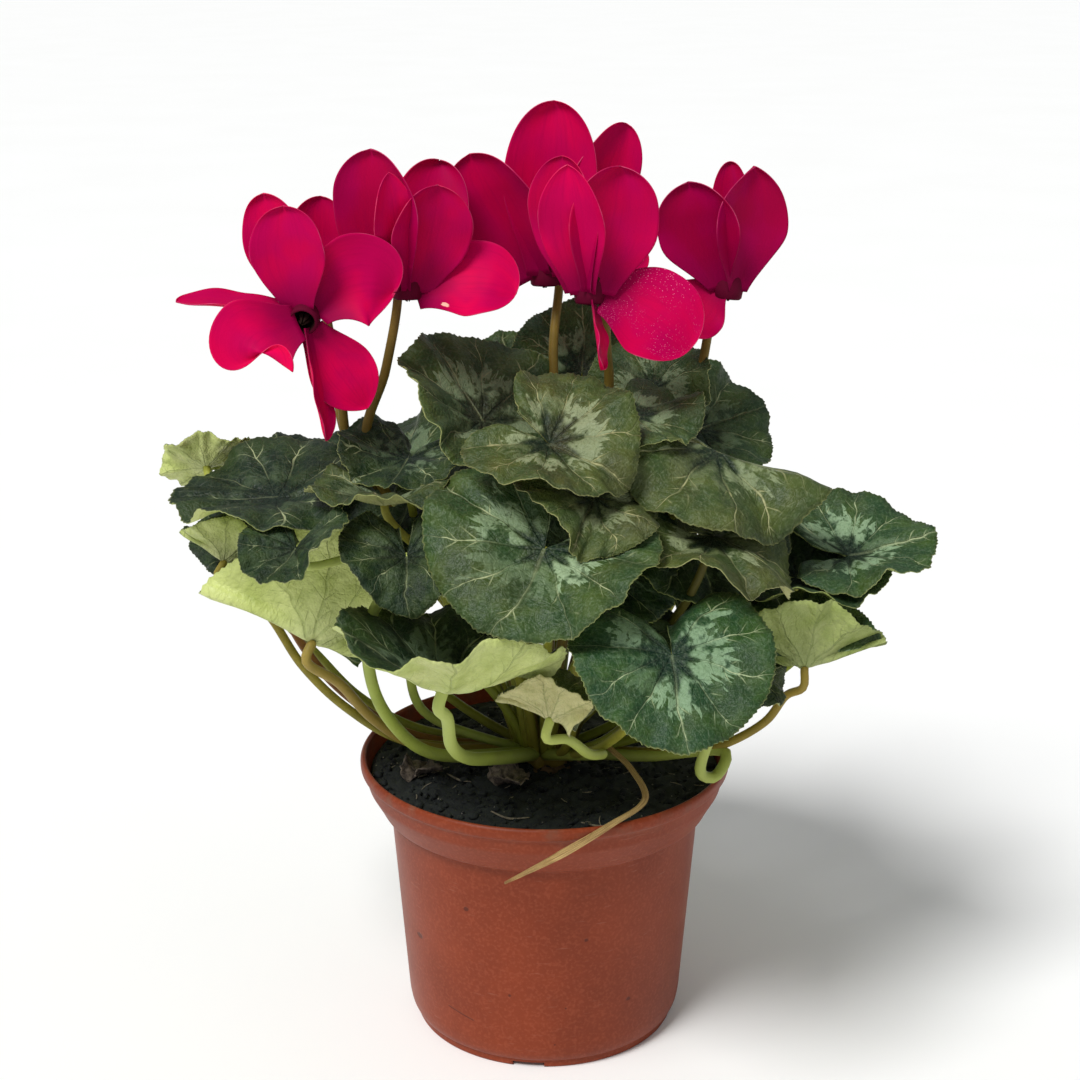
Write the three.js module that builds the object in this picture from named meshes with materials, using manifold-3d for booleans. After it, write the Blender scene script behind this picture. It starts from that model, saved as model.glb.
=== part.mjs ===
// Potted cyclamen in flower, in a 13 cm plastic nursery pot.
// Millimetres, +Z up, origin in the middle of the pot's underside; the plant is seen from -Y.
import * as THREE from 'three';
import { mergeVertices } from 'three/addons/utils/BufferGeometryUtils.js';
import Module from 'manifold-3d';

const wasm = await Module();
wasm.setup();

// Driving dimensions
const POT_HEIGHT = 100;
const POT_RIM_RADIUS = 65;
const POT_BODY_TOP_RADIUS = 54.6;
const POT_BODY_FOOT_RADIUS = 49.2;
const POT_WALL = 1.6;
const POT_SIDES = 24;
const SOIL_EDGE_HEIGHT = 93.5;
const SOIL_MOUND = 4;
const TUBER_RADIUS = 23;
const TUBER_HALF_HEIGHT = 14;
const CROWN_RADIUS = 11;
const CROWN_HEIGHT = 7;
const BLADE_THICKNESS = 0.8;
const PETAL_THICKNESS = 0.8;
const PETIOLE_RADIUS = 1.5;
const STALK_RADIUS = 1.8;
const CLEARANCE = 0.3;
const FINEST = 0.02;

// How a leaf blade is divided, and how far its two basal lobes run round the stem
const BLADE_SPOKES = 12;
const BLADE_RINGS = 2;
const LOBE_END = 172;
const PETAL_STEPS = 4;
const PETAL_STRIPS = 2;

// How finely the round bodies are divided
const TUBER_SIDES = 14;
const TUBER_BANDS = 6;
const CROWN_SIDES = 14;
const FLOWER_TUBE_SIDES = 8;
const FLOWER_TUBE_BANDS = 4;
const HOLE_SIDES = 8;

const COLOURS = {
  pot: [0x9b4a2f, 0.45],
  soil: [0x17191a, 0.95],
  tuber: [0x5a4632, 0.9],
  petiole: [0x9aa648, 0.5],
  stalk: [0x6d6a26, 0.5],
  leaf: [0x2f4a33, 0.6],
  petal: [0xd4104f, 0.55],
  dried: [0xb08a4a, 0.85],
  scrap: [0x4a4038, 0.95],
};

const radians = THREE.MathUtils.degToRad;
const clamp = THREE.MathUtils.clamp;
const UP = new THREE.Vector3(0, 0, 1);
const point = (p) => new THREE.Vector3(...p);

function smoothstep(from, to, x) {
  const t = clamp((x - from) / (to - from), 0, 1);
  return t * t * (3 - 2 * t);
}

// A repeatable run of numbers from 0 to 1
function drawFrom(seed) {
  let state = seed;
  return () => {
    state = (state * 16807) % 2147483647;
    return state / 2147483647;
  };
}

// Closed triangle lists become solids for joining and cutting
function solidFrom(vertices, triangles) {
  const geometry = new THREE.BufferGeometry();
  const flat = vertices.flatMap((v) => [v.x, v.y, v.z]);
  geometry.setAttribute('position', new THREE.Float32BufferAttribute(flat, 3));
  geometry.setIndex(triangles.flat());
  return solidFromGeometry(geometry);
}

function solidFromGeometry(geometry) {
  const bare = geometry.clone();
  bare.deleteAttribute('normal');
  bare.deleteAttribute('uv');
  const merged = mergeVertices(bare, 1e-4);
  return new wasm.Manifold(new wasm.Mesh({
    numProp: 3,
    vertProperties: new Float32Array(merged.attributes.position.array),
    triVerts: new Uint32Array(merged.index.array),
  }));
}

function geometryFrom(solid) {
  const mesh = solid.getMesh();
  const geometry = new THREE.BufferGeometry();
  const count = mesh.vertProperties.length / mesh.numProp;
  const positions = new Float32Array(count * 3);
  for (let i = 0; i < count; i += 1) {
    for (let axis = 0; axis < 3; axis += 1) {
      positions[i * 3 + axis] = mesh.vertProperties[i * mesh.numProp + axis];
    }
  }
  geometry.setAttribute('position', new THREE.BufferAttribute(positions, 3));
  geometry.setIndex(new THREE.BufferAttribute(new Uint32Array(mesh.triVerts), 1));
  geometry.computeVertexNormals();
  return geometry;
}

function largestPiece(solid) {
  const pieces = solid.decompose();
  pieces.sort((a, b) => b.volume() - a.volume());
  return pieces[0];
}

// Leaf blade: heart-shaped, its spokes running from the stem's end to the toothed margin.
// heading and pitch aim the midrib, roll tips the blade round it, fold lifts the left and right
// halves from the midrib, cup curves them, dish makes a shallow funnel, wave and bends ripple
// the margin; bends are [angle from the midrib, width in degrees, height].
const leaf = (name, hub, heading, pitch, roll, size, extra = {}) => ({
  name, hub: point(hub), heading, pitch, roll, size,
  wave: 2.2, waves: 5, phase: 0, dish: 0, cup: 20, fold: [10, 10], bends: [], ...extra,
});

// From the lowest blade to the topmost: where two meet, the later one lies on the upper side
const SHOWN_LEAVES = [
  leaf('right_shade', [46, -46, 172], -60, -25, 0, 28),
  leaf('right_under', [68, -58, 154], -35, -45, 0, 15),
  leaf('front_low', [38, -90, 170.5], -80, -47, 0, 31,
    { wave: 1, fold: [6, 6], cup: 8, bends: [[150, 40, -10], [-150, 40, -10]] }),
  leaf('front_small', [2, -71, 143], 160, 12, 0, 18, { fold: [72, 35], cup: 0 }),
  leaf('front_bowl', [-32, -74, 153], -151, 12, -13, 42,
    { dish: 22, wave: 2.5, waves: 3, phase: 60, fold: [-3, -14], cup: 38, bends: [[85, 60, 8]] }),
  leaf('right_low_fold', [80, -45, 145], -8, 11.5, 16, 28,
    { dish: 11, wave: 1, fold: [35, 74], cup: 0 }),
  leaf('right_mid', [82, -22, 168], -10, 4, 12, 32, { dish: 8, wave: 3, waves: 4 }),
  leaf('inner_front', [12, -44, 186], -75, -42, 0, 31),
  leaf('inner_right', [50, -22, 176], -80, -28, 0, 31),
  leaf('inner_left', [-42, -14, 197], -110, -30, 0, 30),
  leaf('left_low_fold', [-74, -42, 157.5], 182, 31, 0, 39.5,
    { wave: 1.5, fold: [92, 35], cup: -4, bends: [[110, 40, 5]] }),
  leaf('left_cup', [-43.5, -72, 201], -90, -40, 0, 22,
    { dish: 18, wave: 2.5, waves: 3, phase: 180, fold: [8, 8], cup: 10, bends: [[0, 35, -5]] }),
  leaf('left_hanging', [-106, -15, 176], -140, -60, 0, 21),
  leaf('left_tucked', [-101, -28, 178], 170, 30, 0, 18, { fold: [75, 20] }),
  leaf('left_lip', [-78, -68, 195.5], -115, -32, 0, 18, { dish: 10, wave: 2 }),
  leaf('left_rear', [-83, 5, 198], 115, 20, 0, 27, { cup: 0 }),
  leaf('left_wide', [-88, -32, 199], 176, -4, -9, 35,
    { wave: 2.5, fold: [3, 10], cup: 8, bends: [[60, 40, 4]] }),
  leaf('left_upright', [-117, 10, 192], -90, 55, 0, 17),
  leaf('left_shelf', [-54, -46, 210], -80, 0, 14, 24, { dish: 26, fold: [0, 0], cup: 0 }),
  leaf('left_inner', [-42, -25, 210], -100, -15, 0, 24),
  leaf('right_wave', [53, -56, 198], -34, -9, 9.5, 29,
    { wave: 4, fold: [-26, -6], cup: 13, bends: [[-125, 38, 9], [-60, 25, 5], [10, 25, -12]] }),
  leaf('centre_big', [0.5, -74, 197.5], -118, -40, 0, 34.5, { fold: [6, 6], cup: 8 }),
  leaf('centre_right', [18, -59, 205], -106, -26, 0, 26,
    { dish: 11, wave: 4.5, waves: 4, phase: 120, fold: [-45, 35], cup: 5 }),
  leaf('right_top', [54, 15, 212.5], 34, 5, 38, 27, { dish: 4, fold: [18, 4], cup: 6 }),
  leaf('right_saddle', [56, -35, 221], -10, -27, -14, 37,
    { dish: 7, wave: 4.2, fold: [-21, -36], cup: -3, bends: [[40, 30, 6], [-60, 35, -4]] }),
  leaf('right_far', [101, -22, 175], 4, 12.5, 36, 29, { wave: 2.6, fold: [-3, 41], cup: -12 }),
  leaf('top_left_back', [-9, 25, 226], 110, 40, 0, 23),
  leaf('top_back', [11, 30, 228], 80, 65, 0, 26),
  leaf('top_right_back', [37, 12, 227], 70, 40, 0, 22),
  leaf('top_left', [-19, -12, 218], 142, 48, 0, 36, { wave: 2 }),
  leaf('top_right', [27, -26, 229], -61, -15, 12, 24,
    { wave: 3.5, fold: [-15, 25], cup: 13, bends: [[60, 40, 5]] }),
  leaf('top_centre', [-4, -47, 215], -23, -20, 42, 30,
    { dish: 15, wave: 4.2, waves: 3, phase: 200, fold: [-18, 22], cup: 8 }),
];

// The far side of the plant carries two tiers of leaves, spread evenly with a little chance
const BACK_TIERS = [
  { name: 'back_low', count: 5, from: 12, to: 158, ring: 84, height: 160, pitch: -34, size: 36 },
  { name: 'back_high', count: 4, from: 30, to: 152, ring: 54, height: 200, pitch: -20, size: 33 },
];

function backLeaves() {
  const chance = drawFrom(2026);
  const vary = (amount) => (chance() * 2 - 1) * amount;
  const rows = [];
  for (const tier of BACK_TIERS) {
    for (let i = 0; i < tier.count; i += 1) {
      const azimuth = tier.from + ((tier.to - tier.from) * i) / (tier.count - 1) + vary(5);
      const ring = tier.ring + vary(6);
      const hub = [
        ring * Math.cos(radians(azimuth)),
        ring * Math.sin(radians(azimuth)),
        tier.height + vary(6),
      ];
      const heading = azimuth + vary(18);
      const pitch = tier.pitch + vary(8);
      const roll = vary(10);
      const size = tier.size + vary(3);
      const phase = vary(180);
      rows.push(leaf(`${tier.name}_${i + 1}`, hub, heading, pitch, roll, size, { wave: 2, phase }));
    }
  }
  return rows;
}

// Distance from the stem's end to the margin, by the angle from the midrib
function reach(angle, size) {
  const a = Math.abs(angle);
  const tip = 0.07 * Math.exp(-((a / 16) ** 2));
  const lobe = 1 - 0.52 * smoothstep(128, LOBE_END, a) ** 1.5;
  return size * (0.95 + tip + 0.05 * Math.sin(radians(a)) ** 2) * lobe;
}

function leafAxes(row) {
  const a = radians(row.heading);
  const p = radians(row.pitch);
  const r = radians(row.roll);
  const along = new THREE.Vector3(Math.cos(p) * Math.cos(a), Math.cos(p) * Math.sin(a), Math.sin(p));
  const flatSide = new THREE.Vector3(-Math.sin(a), Math.cos(a), 0);
  const flatTop = along.clone().cross(flatSide);
  const side = flatSide.clone().multiplyScalar(Math.cos(r)).addScaledVector(flatTop, Math.sin(r));
  const top = flatTop.clone().multiplyScalar(Math.cos(r)).addScaledVector(flatSide, -Math.sin(r));
  return { along, side, top };
}

function bladePoint(row, axes, angle, share) {
  const spoke = radians(angle);
  const rho = reach(angle, row.size) * share;
  let lift = row.wave * share ** 2 * Math.cos(row.waves * spoke + radians(row.phase));
  for (const [centre, width, height] of row.bends) {
    const off = THREE.MathUtils.euclideanModulo(angle - centre + 180, 360) - 180;
    lift += height * share ** 2 * Math.exp(-((off / width) ** 2));
  }
  const dish = radians(row.dish);
  const x = rho * Math.cos(spoke) * Math.cos(dish);
  const y = rho * Math.sin(spoke) * Math.cos(dish);
  lift += rho * Math.sin(dish);
  const bend = radians(row.cup || 1e-4) / row.size;
  const turn = bend * Math.abs(y);
  const outward = Math.sin(turn) / bend - Math.sin(turn) * lift;
  const upward = (1 - Math.cos(turn)) / bend + Math.cos(turn) * lift;
  const fold = radians(y > 0 ? row.fold[0] : row.fold[1]);
  const sideways = Math.sign(y) * (outward * Math.cos(fold) - upward * Math.sin(fold));
  const raised = outward * Math.sin(fold) + upward * Math.cos(fold);
  return row.hub.clone()
    .addScaledVector(axes.along, x)
    .addScaledVector(axes.side, sideways)
    .addScaledVector(axes.top, raised);
}

// Middle surface of a blade: a fan of spokes, each with its rings from stem to margin
function bladeSheet(row) {
  const axes = leafAxes(row);
  const sheet = [];
  for (let i = 0; i <= BLADE_SPOKES; i += 1) {
    const angle = -LOBE_END + (2 * LOBE_END * i) / BLADE_SPOKES;
    const spoke = [];
    for (let j = 0; j <= BLADE_RINGS; j += 1) {
      spoke.push(bladePoint(row, axes, angle, j / BLADE_RINGS));
    }
    sheet.push(spoke);
  }
  return sheet;
}

// Upper-side normals of a sheet at each of its points
function sheetNormals(sheet) {
  const normals = sheet.map((spoke) => spoke.map(() => new THREE.Vector3()));
  const a = new THREE.Vector3();
  const b = new THREE.Vector3();
  for (let i = 0; i + 1 < sheet.length; i += 1) {
    for (let j = 0; j + 1 < sheet[0].length; j += 1) {
      a.subVectors(sheet[i][j + 1], sheet[i + 1][j]);
      b.subVectors(sheet[i + 1][j + 1], sheet[i][j]);
      a.cross(b);
      for (const [di, dj] of [[0, 0], [1, 0], [0, 1], [1, 1]]) {
        normals[i + di][j + dj].add(a);
      }
    }
  }
  const hub = new THREE.Vector3();
  for (const spoke of normals) {
    hub.add(spoke[0]);
  }
  for (const spoke of normals) {
    if (sheet[0][0].distanceTo(sheet[1][0]) < 1e-6) {
      spoke[0].copy(hub);
    }
    spoke.forEach((n) => n.normalize());
  }
  return normals;
}

// Leaves grow clear of each other: where two sheets come closer than the gap, or lie on the
// wrong side of each other, both give way, and each sheet's own shift is smoothed
const LEAF_GAP = 2.4;
const MEET_ACROSS = 7.5;
const MEET_DEPTH = 16;
const SETTLE_ROUNDS = 36;
const PUSH_SHARE = 0.25;
const PUSH_LIMIT = 2.5;
const NEIGHBOUR_REACH = 95;

function settle(sheets) {
  const rest = sheets.map((sheet) => sheet.map((spoke) => spoke.map((p) => p.clone())));
  const apart = new THREE.Vector3();
  for (let round = 0; round < SETTLE_ROUNDS; round += 1) {
    const normals = sheets.map(sheetNormals);
    const centres = sheets.map((sheet) => sheet[BLADE_SPOKES / 2][1]);
    const pushes = sheets.map((sheet) => sheet.map((spoke) => spoke.map(() => new THREE.Vector3())));
    for (let low = 0; low < sheets.length; low += 1) {
      for (let high = low + 1; high < sheets.length; high += 1) {
        if (centres[low].distanceTo(centres[high]) > NEIGHBOUR_REACH) {
          continue;
        }
        pushApart(sheets, normals, pushes, low, high, apart);
      }
    }
    sheets.forEach((sheet, k) => moveSheet(sheet, rest[k], pushes[k]));
  }
}

function pushApart(sheets, normals, pushes, low, high, apart) {
  for (let i = 0; i <= BLADE_SPOKES; i += 1) {
    for (let j = 0; j <= BLADE_RINGS; j += 1) {
      const p = sheets[high][i][j];
      let best = Infinity;
      let at = null;
      for (let m = 0; m <= BLADE_SPOKES; m += 1) {
        for (let n = 0; n <= BLADE_RINGS; n += 1) {
          const distance = p.distanceToSquared(sheets[low][m][n]);
          if (distance < best) {
            best = distance;
            at = [m, n];
          }
        }
      }
      const normal = normals[low][at[0]][at[1]];
      apart.subVectors(p, sheets[low][at[0]][at[1]]);
      const height = apart.dot(normal);
      const across = Math.sqrt(Math.max(best - height * height, 0));
      if (across > MEET_ACROSS || Math.abs(height) > MEET_DEPTH || height > LEAF_GAP) {
        continue;
      }
      const push = PUSH_SHARE * (LEAF_GAP - height);
      pushes[high][i][j].addScaledVector(normal, push);
      pushes[low][at[0]][at[1]].addScaledVector(normal, -push);
    }
  }
}

function moveSheet(sheet, rest, push) {
  const shift = sheet.map((spoke, i) => spoke.map((p, j) => {
    return p.clone().sub(rest[i][j]).add(push[i][j].clampLength(0, PUSH_LIMIT));
  }));
  const hub = new THREE.Vector3();
  for (const spoke of shift) {
    hub.addScaledVector(spoke[0], 0.5 / shift.length);
    hub.addScaledVector(spoke[1], 0.5 / shift.length);
  }
  for (let i = 0; i <= BLADE_SPOKES; i += 1) {
    for (let j = 0; j <= BLADE_RINGS; j += 1) {
      const mean = new THREE.Vector3();
      let count = 0;
      for (const [di, dj] of [[-1, 0], [1, 0], [0, -1], [0, 1]]) {
        const near = j + dj === 0 ? hub : shift[i + di]?.[j + dj];
        if (near) {
          mean.add(near);
          count += 1;
        }
      }
      mean.divideScalar(count);
      const own = j === 0 ? hub : shift[i][j].clone().lerp(mean, 0.5);
      sheet[i][j].copy(rest[i][j]).add(own);
    }
  }
}

// A sheet thickened to a closed solid; both faces are split into the same triangles.
// Spread widens the sheet at its edges, for cutting clearances.
function sheetSolid(sheet, thickness, spread = 0) {
  const wide = spread > 0 ? spreadSheet(sheet, spread) : sheet;
  const normals = sheetNormals(wide);
  const rows = wide.length;
  const columns = wide[0].length;
  const vertices = [];
  for (const side of [0.5, -0.5]) {
    for (let i = 0; i < rows; i += 1) {
      for (let j = 0; j < columns; j += 1) {
        vertices.push(wide[i][j].clone().addScaledVector(normals[i][j], side * thickness));
      }
    }
  }
  const pointed = wide[0][0].distanceTo(wide[1][0]) < 1e-6;
  const upper = (i, j) => i * columns + j;
  const lower = (i, j) => rows * columns + i * columns + j;
  const triangles = [];
  for (let i = 0; i + 1 < rows; i += 1) {
    for (let j = 0; j + 1 < columns; j += 1) {
      triangles.push([upper(i, j), upper(i, j + 1), upper(i + 1, j + 1)]);
      triangles.push([lower(i, j), lower(i + 1, j + 1), lower(i, j + 1)]);
      if (j > 0 || !pointed) {
        triangles.push([upper(i, j), upper(i + 1, j + 1), upper(i + 1, j)]);
        triangles.push([lower(i, j), lower(i + 1, j), lower(i + 1, j + 1)]);
      }
    }
  }
  const border = borderOf(rows, columns, pointed);
  border.forEach((a, k) => {
    const b = border[(k + 1) % border.length];
    triangles.push([upper(...a), lower(...a), lower(...b)]);
    triangles.push([upper(...a), lower(...b), upper(...b)]);
  });
  return solidFrom(vertices, triangles);
}

// The sheet's edge points in order, anticlockwise as seen from its upper side
function borderOf(rows, columns, pointed) {
  const border = [];
  for (let j = 0; j + 1 < columns; j += 1) {
    border.push([0, j]);
  }
  for (let i = 0; i + 1 < rows; i += 1) {
    border.push([i, columns - 1]);
  }
  for (let j = columns - 1; j > 0; j -= 1) {
    border.push([rows - 1, j]);
  }
  if (!pointed) {
    for (let i = rows - 1; i > 0; i -= 1) {
      border.push([i, 0]);
    }
  }
  return border;
}

function spreadSheet(sheet, spread) {
  const last = sheet.length - 1;
  const rim = sheet[0].length - 1;
  const wide = sheet.map((spoke) => spoke.map((p) => p.clone()));
  const push = (i, j, fromI, fromJ) => {
    const out = sheet[i][j].clone().sub(sheet[fromI][fromJ]);
    if (out.length() > 1e-6) {
      wide[i][j].addScaledVector(out.normalize(), spread);
    }
  };
  for (let i = 0; i <= last; i += 1) {
    push(i, rim, i, rim - 1);
  }
  for (let j = 1; j <= rim; j += 1) {
    push(0, j, 1, j);
    push(last, j, last - 1, j);
  }
  return wide;
}

// A stem: a tapering tube along a curve, with flat ends. Grow makes it wider and longer.
function tube(curve, radii, steps, sides, grow = 0) {
  const normal = new THREE.Vector3(0.6, 0.8, 0);
  const vertices = [];
  for (let i = 0; i <= steps; i += 1) {
    const along = curve.getTangent(i / steps);
    normal.addScaledVector(along, -normal.dot(along)).normalize();
    const binormal = along.clone().cross(normal);
    const beyond = (i === steps) - (i === 0);
    const centre = curve.getPoint(i / steps).addScaledVector(along, beyond * grow);
    const radius = THREE.MathUtils.lerp(radii[0], radii[1], i / steps) + grow;
    for (let k = 0; k < sides; k += 1) {
      const angle = (2 * Math.PI * k) / sides;
      vertices.push(centre.clone()
        .addScaledVector(normal, radius * Math.cos(angle))
        .addScaledVector(binormal, radius * Math.sin(angle)));
    }
  }
  const triangles = [];
  for (let i = 0; i < steps; i += 1) {
    for (let k = 0; k < sides; k += 1) {
      const a = i * sides + k;
      const b = i * sides + ((k + 1) % sides);
      triangles.push([a, b, b + sides], [a, b + sides, a + sides]);
    }
  }
  for (let k = 1; k + 1 < sides; k += 1) {
    const end = steps * sides;
    triangles.push([0, k + 1, k], [end, end + k, end + k + 1]);
  }
  return solidFrom(vertices, triangles);
}

function turned(profile, sides) {
  const outline = profile.map(([r, z]) => new THREE.Vector2(r, z));
  const geometry = new THREE.LatheGeometry(outline, sides);
  geometry.rotateX(Math.PI / 2);
  return solidFromGeometry(geometry);
}

// Pot: a thin tapering wall, a flared rim with a rolled lip, a ring to stand on and a flat boss
const POT_INSIDE = [
  [62.9, 99.4], [62.4, 95], [60.9, 90.4], [57.6, 84.8], [56.2, 82.4],
  [POT_BODY_TOP_RADIUS - POT_WALL, 79.6], [POT_BODY_FOOT_RADIUS - POT_WALL, 9.5], [45.6, 5.2],
];
const STAND_RING = { inner: 44.4, outer: 46.5, height: 3 };
const STAND_BOSS_RADIUS = 18;
const DRAIN_HOLES = { count: 6, ring: 31, radius: 4, length: 20 };
const RING_NOTCHES = { count: 4, length: 12, width: 11, depth: 1.8, turn: -97 };

function potSolid() {
  const outside = [
    [0, 0], [STAND_BOSS_RADIUS, 0], [STAND_BOSS_RADIUS + 2, STAND_RING.height],
    [STAND_RING.inner, STAND_RING.height], [STAND_RING.inner, 0], [STAND_RING.outer, 0],
    [STAND_RING.outer, STAND_RING.height], [47.6, 3.4], [POT_BODY_FOOT_RADIUS, 9],
    [POT_BODY_TOP_RADIUS, 80], [57.6, 81.2], [59.2, 84.4], [62.4, 90], [63.4, 95],
    [POT_RIM_RADIUS, 96], [POT_RIM_RADIUS, 98.8], [64, POT_HEIGHT],
  ];
  let pot = turned([...outside, ...POT_INSIDE, [0, POT_INSIDE.at(-1)[1]]], POT_SIDES);
  for (let i = 0; i < DRAIN_HOLES.count; i += 1) {
    const angle = (2 * Math.PI * i) / DRAIN_HOLES.count;
    const { radius, length } = DRAIN_HOLES;
    const hole = new THREE.CylinderGeometry(radius, radius, length, HOLE_SIDES);
    hole.rotateX(Math.PI / 2);
    hole.translate(DRAIN_HOLES.ring * Math.cos(angle), DRAIN_HOLES.ring * Math.sin(angle), 0);
    pot = pot.subtract(solidFromGeometry(hole));
  }
  for (let i = 0; i < RING_NOTCHES.count; i += 1) {
    const angle = radians(RING_NOTCHES.turn + (360 * i) / RING_NOTCHES.count);
    const { length, width, depth } = RING_NOTCHES;
    const notch = new THREE.BoxGeometry(length, width, depth * 2);
    notch.translate(STAND_RING.outer, 0, 0);
    notch.rotateZ(angle);
    pot = pot.subtract(solidFromGeometry(notch));
  }
  return pot;
}

// Soil: fills the pot to just under the rim, mounded and lumpy on top
const SOIL_SPOKES = POT_SIDES;
const SOIL_RINGS = [0.28, 0.52, 0.76, 1];

function soilHeight(x, y) {
  const share = Math.hypot(x, y) / POT_INSIDE[0][0];
  const mound = SOIL_MOUND * (1 - share * share);
  const lumps = Math.sin(x * 0.31 + 1.1) * Math.cos(y * 0.27 - 0.6)
    + 0.7 * Math.sin(x * 0.13 - y * 0.19 + 2);
  return SOIL_EDGE_HEIGHT + mound + 0.7 * lumps * (1 - share ** 6);
}

function soilSolid(raise = 0) {
  const topRadius = POT_INSIDE[1][0] - 0.8;
  const side = POT_INSIDE.slice(2).map(([r, z]) => [r - CLEARANCE, z + CLEARANCE]);
  const vertices = [new THREE.Vector3(0, 0, soilHeight(0, 0) + raise)];
  for (const share of SOIL_RINGS) {
    for (let k = 0; k < SOIL_SPOKES; k += 1) {
      const angle = (2 * Math.PI * k) / SOIL_SPOKES;
      const x = topRadius * share * Math.cos(angle);
      const y = topRadius * share * Math.sin(angle);
      vertices.push(new THREE.Vector3(x, y, soilHeight(x, y) + raise));
    }
  }
  for (const [radius, z] of side) {
    for (let k = 0; k < SOIL_SPOKES; k += 1) {
      const angle = (2 * Math.PI * k) / SOIL_SPOKES;
      vertices.push(new THREE.Vector3(radius * Math.cos(angle), radius * Math.sin(angle), z));
    }
  }
  vertices.push(new THREE.Vector3(0, 0, side.at(-1)[1]));
  const rings = SOIL_RINGS.length + side.length;
  const at = (ring, k) => 1 + ring * SOIL_SPOKES + (k % SOIL_SPOKES);
  const triangles = [];
  for (let k = 0; k < SOIL_SPOKES; k += 1) {
    triangles.push([0, at(0, k), at(0, k + 1)]);
    for (let ring = 0; ring + 1 < rings; ring += 1) {
      triangles.push([at(ring, k), at(ring + 1, k), at(ring + 1, k + 1)]);
      triangles.push([at(ring, k), at(ring + 1, k + 1), at(ring, k + 1)]);
    }
    triangles.push([vertices.length - 1, at(rings - 1, k + 1), at(rings - 1, k)]);
  }
  return solidFrom(vertices, triangles);
}

// Tuber: a flattened round body, its shoulder just above the soil
const TUBER_TOP = SOIL_EDGE_HEIGHT + SOIL_MOUND + 1.5;

function tuberSolid(grow = 0) {
  const geometry = new THREE.SphereGeometry(1, TUBER_SIDES, TUBER_BANDS);
  geometry.rotateX(Math.PI / 2);
  geometry.scale(TUBER_RADIUS + grow, TUBER_RADIUS + grow, TUBER_HALF_HEIGHT + grow);
  geometry.translate(0, 0, TUBER_TOP - TUBER_HALF_HEIGHT);
  return solidFromGeometry(geometry);
}

function crownSolid() {
  const profile = [
    [0, TUBER_TOP - 3], [CROWN_RADIUS, TUBER_TOP - 3], [CROWN_RADIUS, TUBER_TOP + 2],
    [CROWN_RADIUS * 0.7, TUBER_TOP + CROWN_HEIGHT - 1], [0, TUBER_TOP + CROWN_HEIGHT],
  ];
  return turned(profile, CROWN_SIDES).subtract(tuberSolid(CLEARANCE));
}

// The opening in the soil that the crown stands in
function crownBore() {
  const radius = CROWN_RADIUS + CLEARANCE;
  const low = TUBER_TOP - TUBER_HALF_HEIGHT;
  const high = TUBER_TOP + CROWN_HEIGHT;
  return turned([[0, low], [radius, low], [radius, high], [0, high]], CROWN_SIDES);
}

// Blooms: petals swept back from a nodding mouth. Each petal runs from base to tip, face is the
// side it shows, bow moves its middle, cup curves it across. It is widest at its peak, root is the
// width there that it starts with, and a greater end makes it more pointed.
const petal = (base, tip, face, width, extra = {}) => ({
  base: point(base), tip: point(tip), face: point(face), width,
  bow: [0, 0, 0], cup: 30, peak: 0.54, root: 0.36, end: 0.5, ...extra,
});

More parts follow.
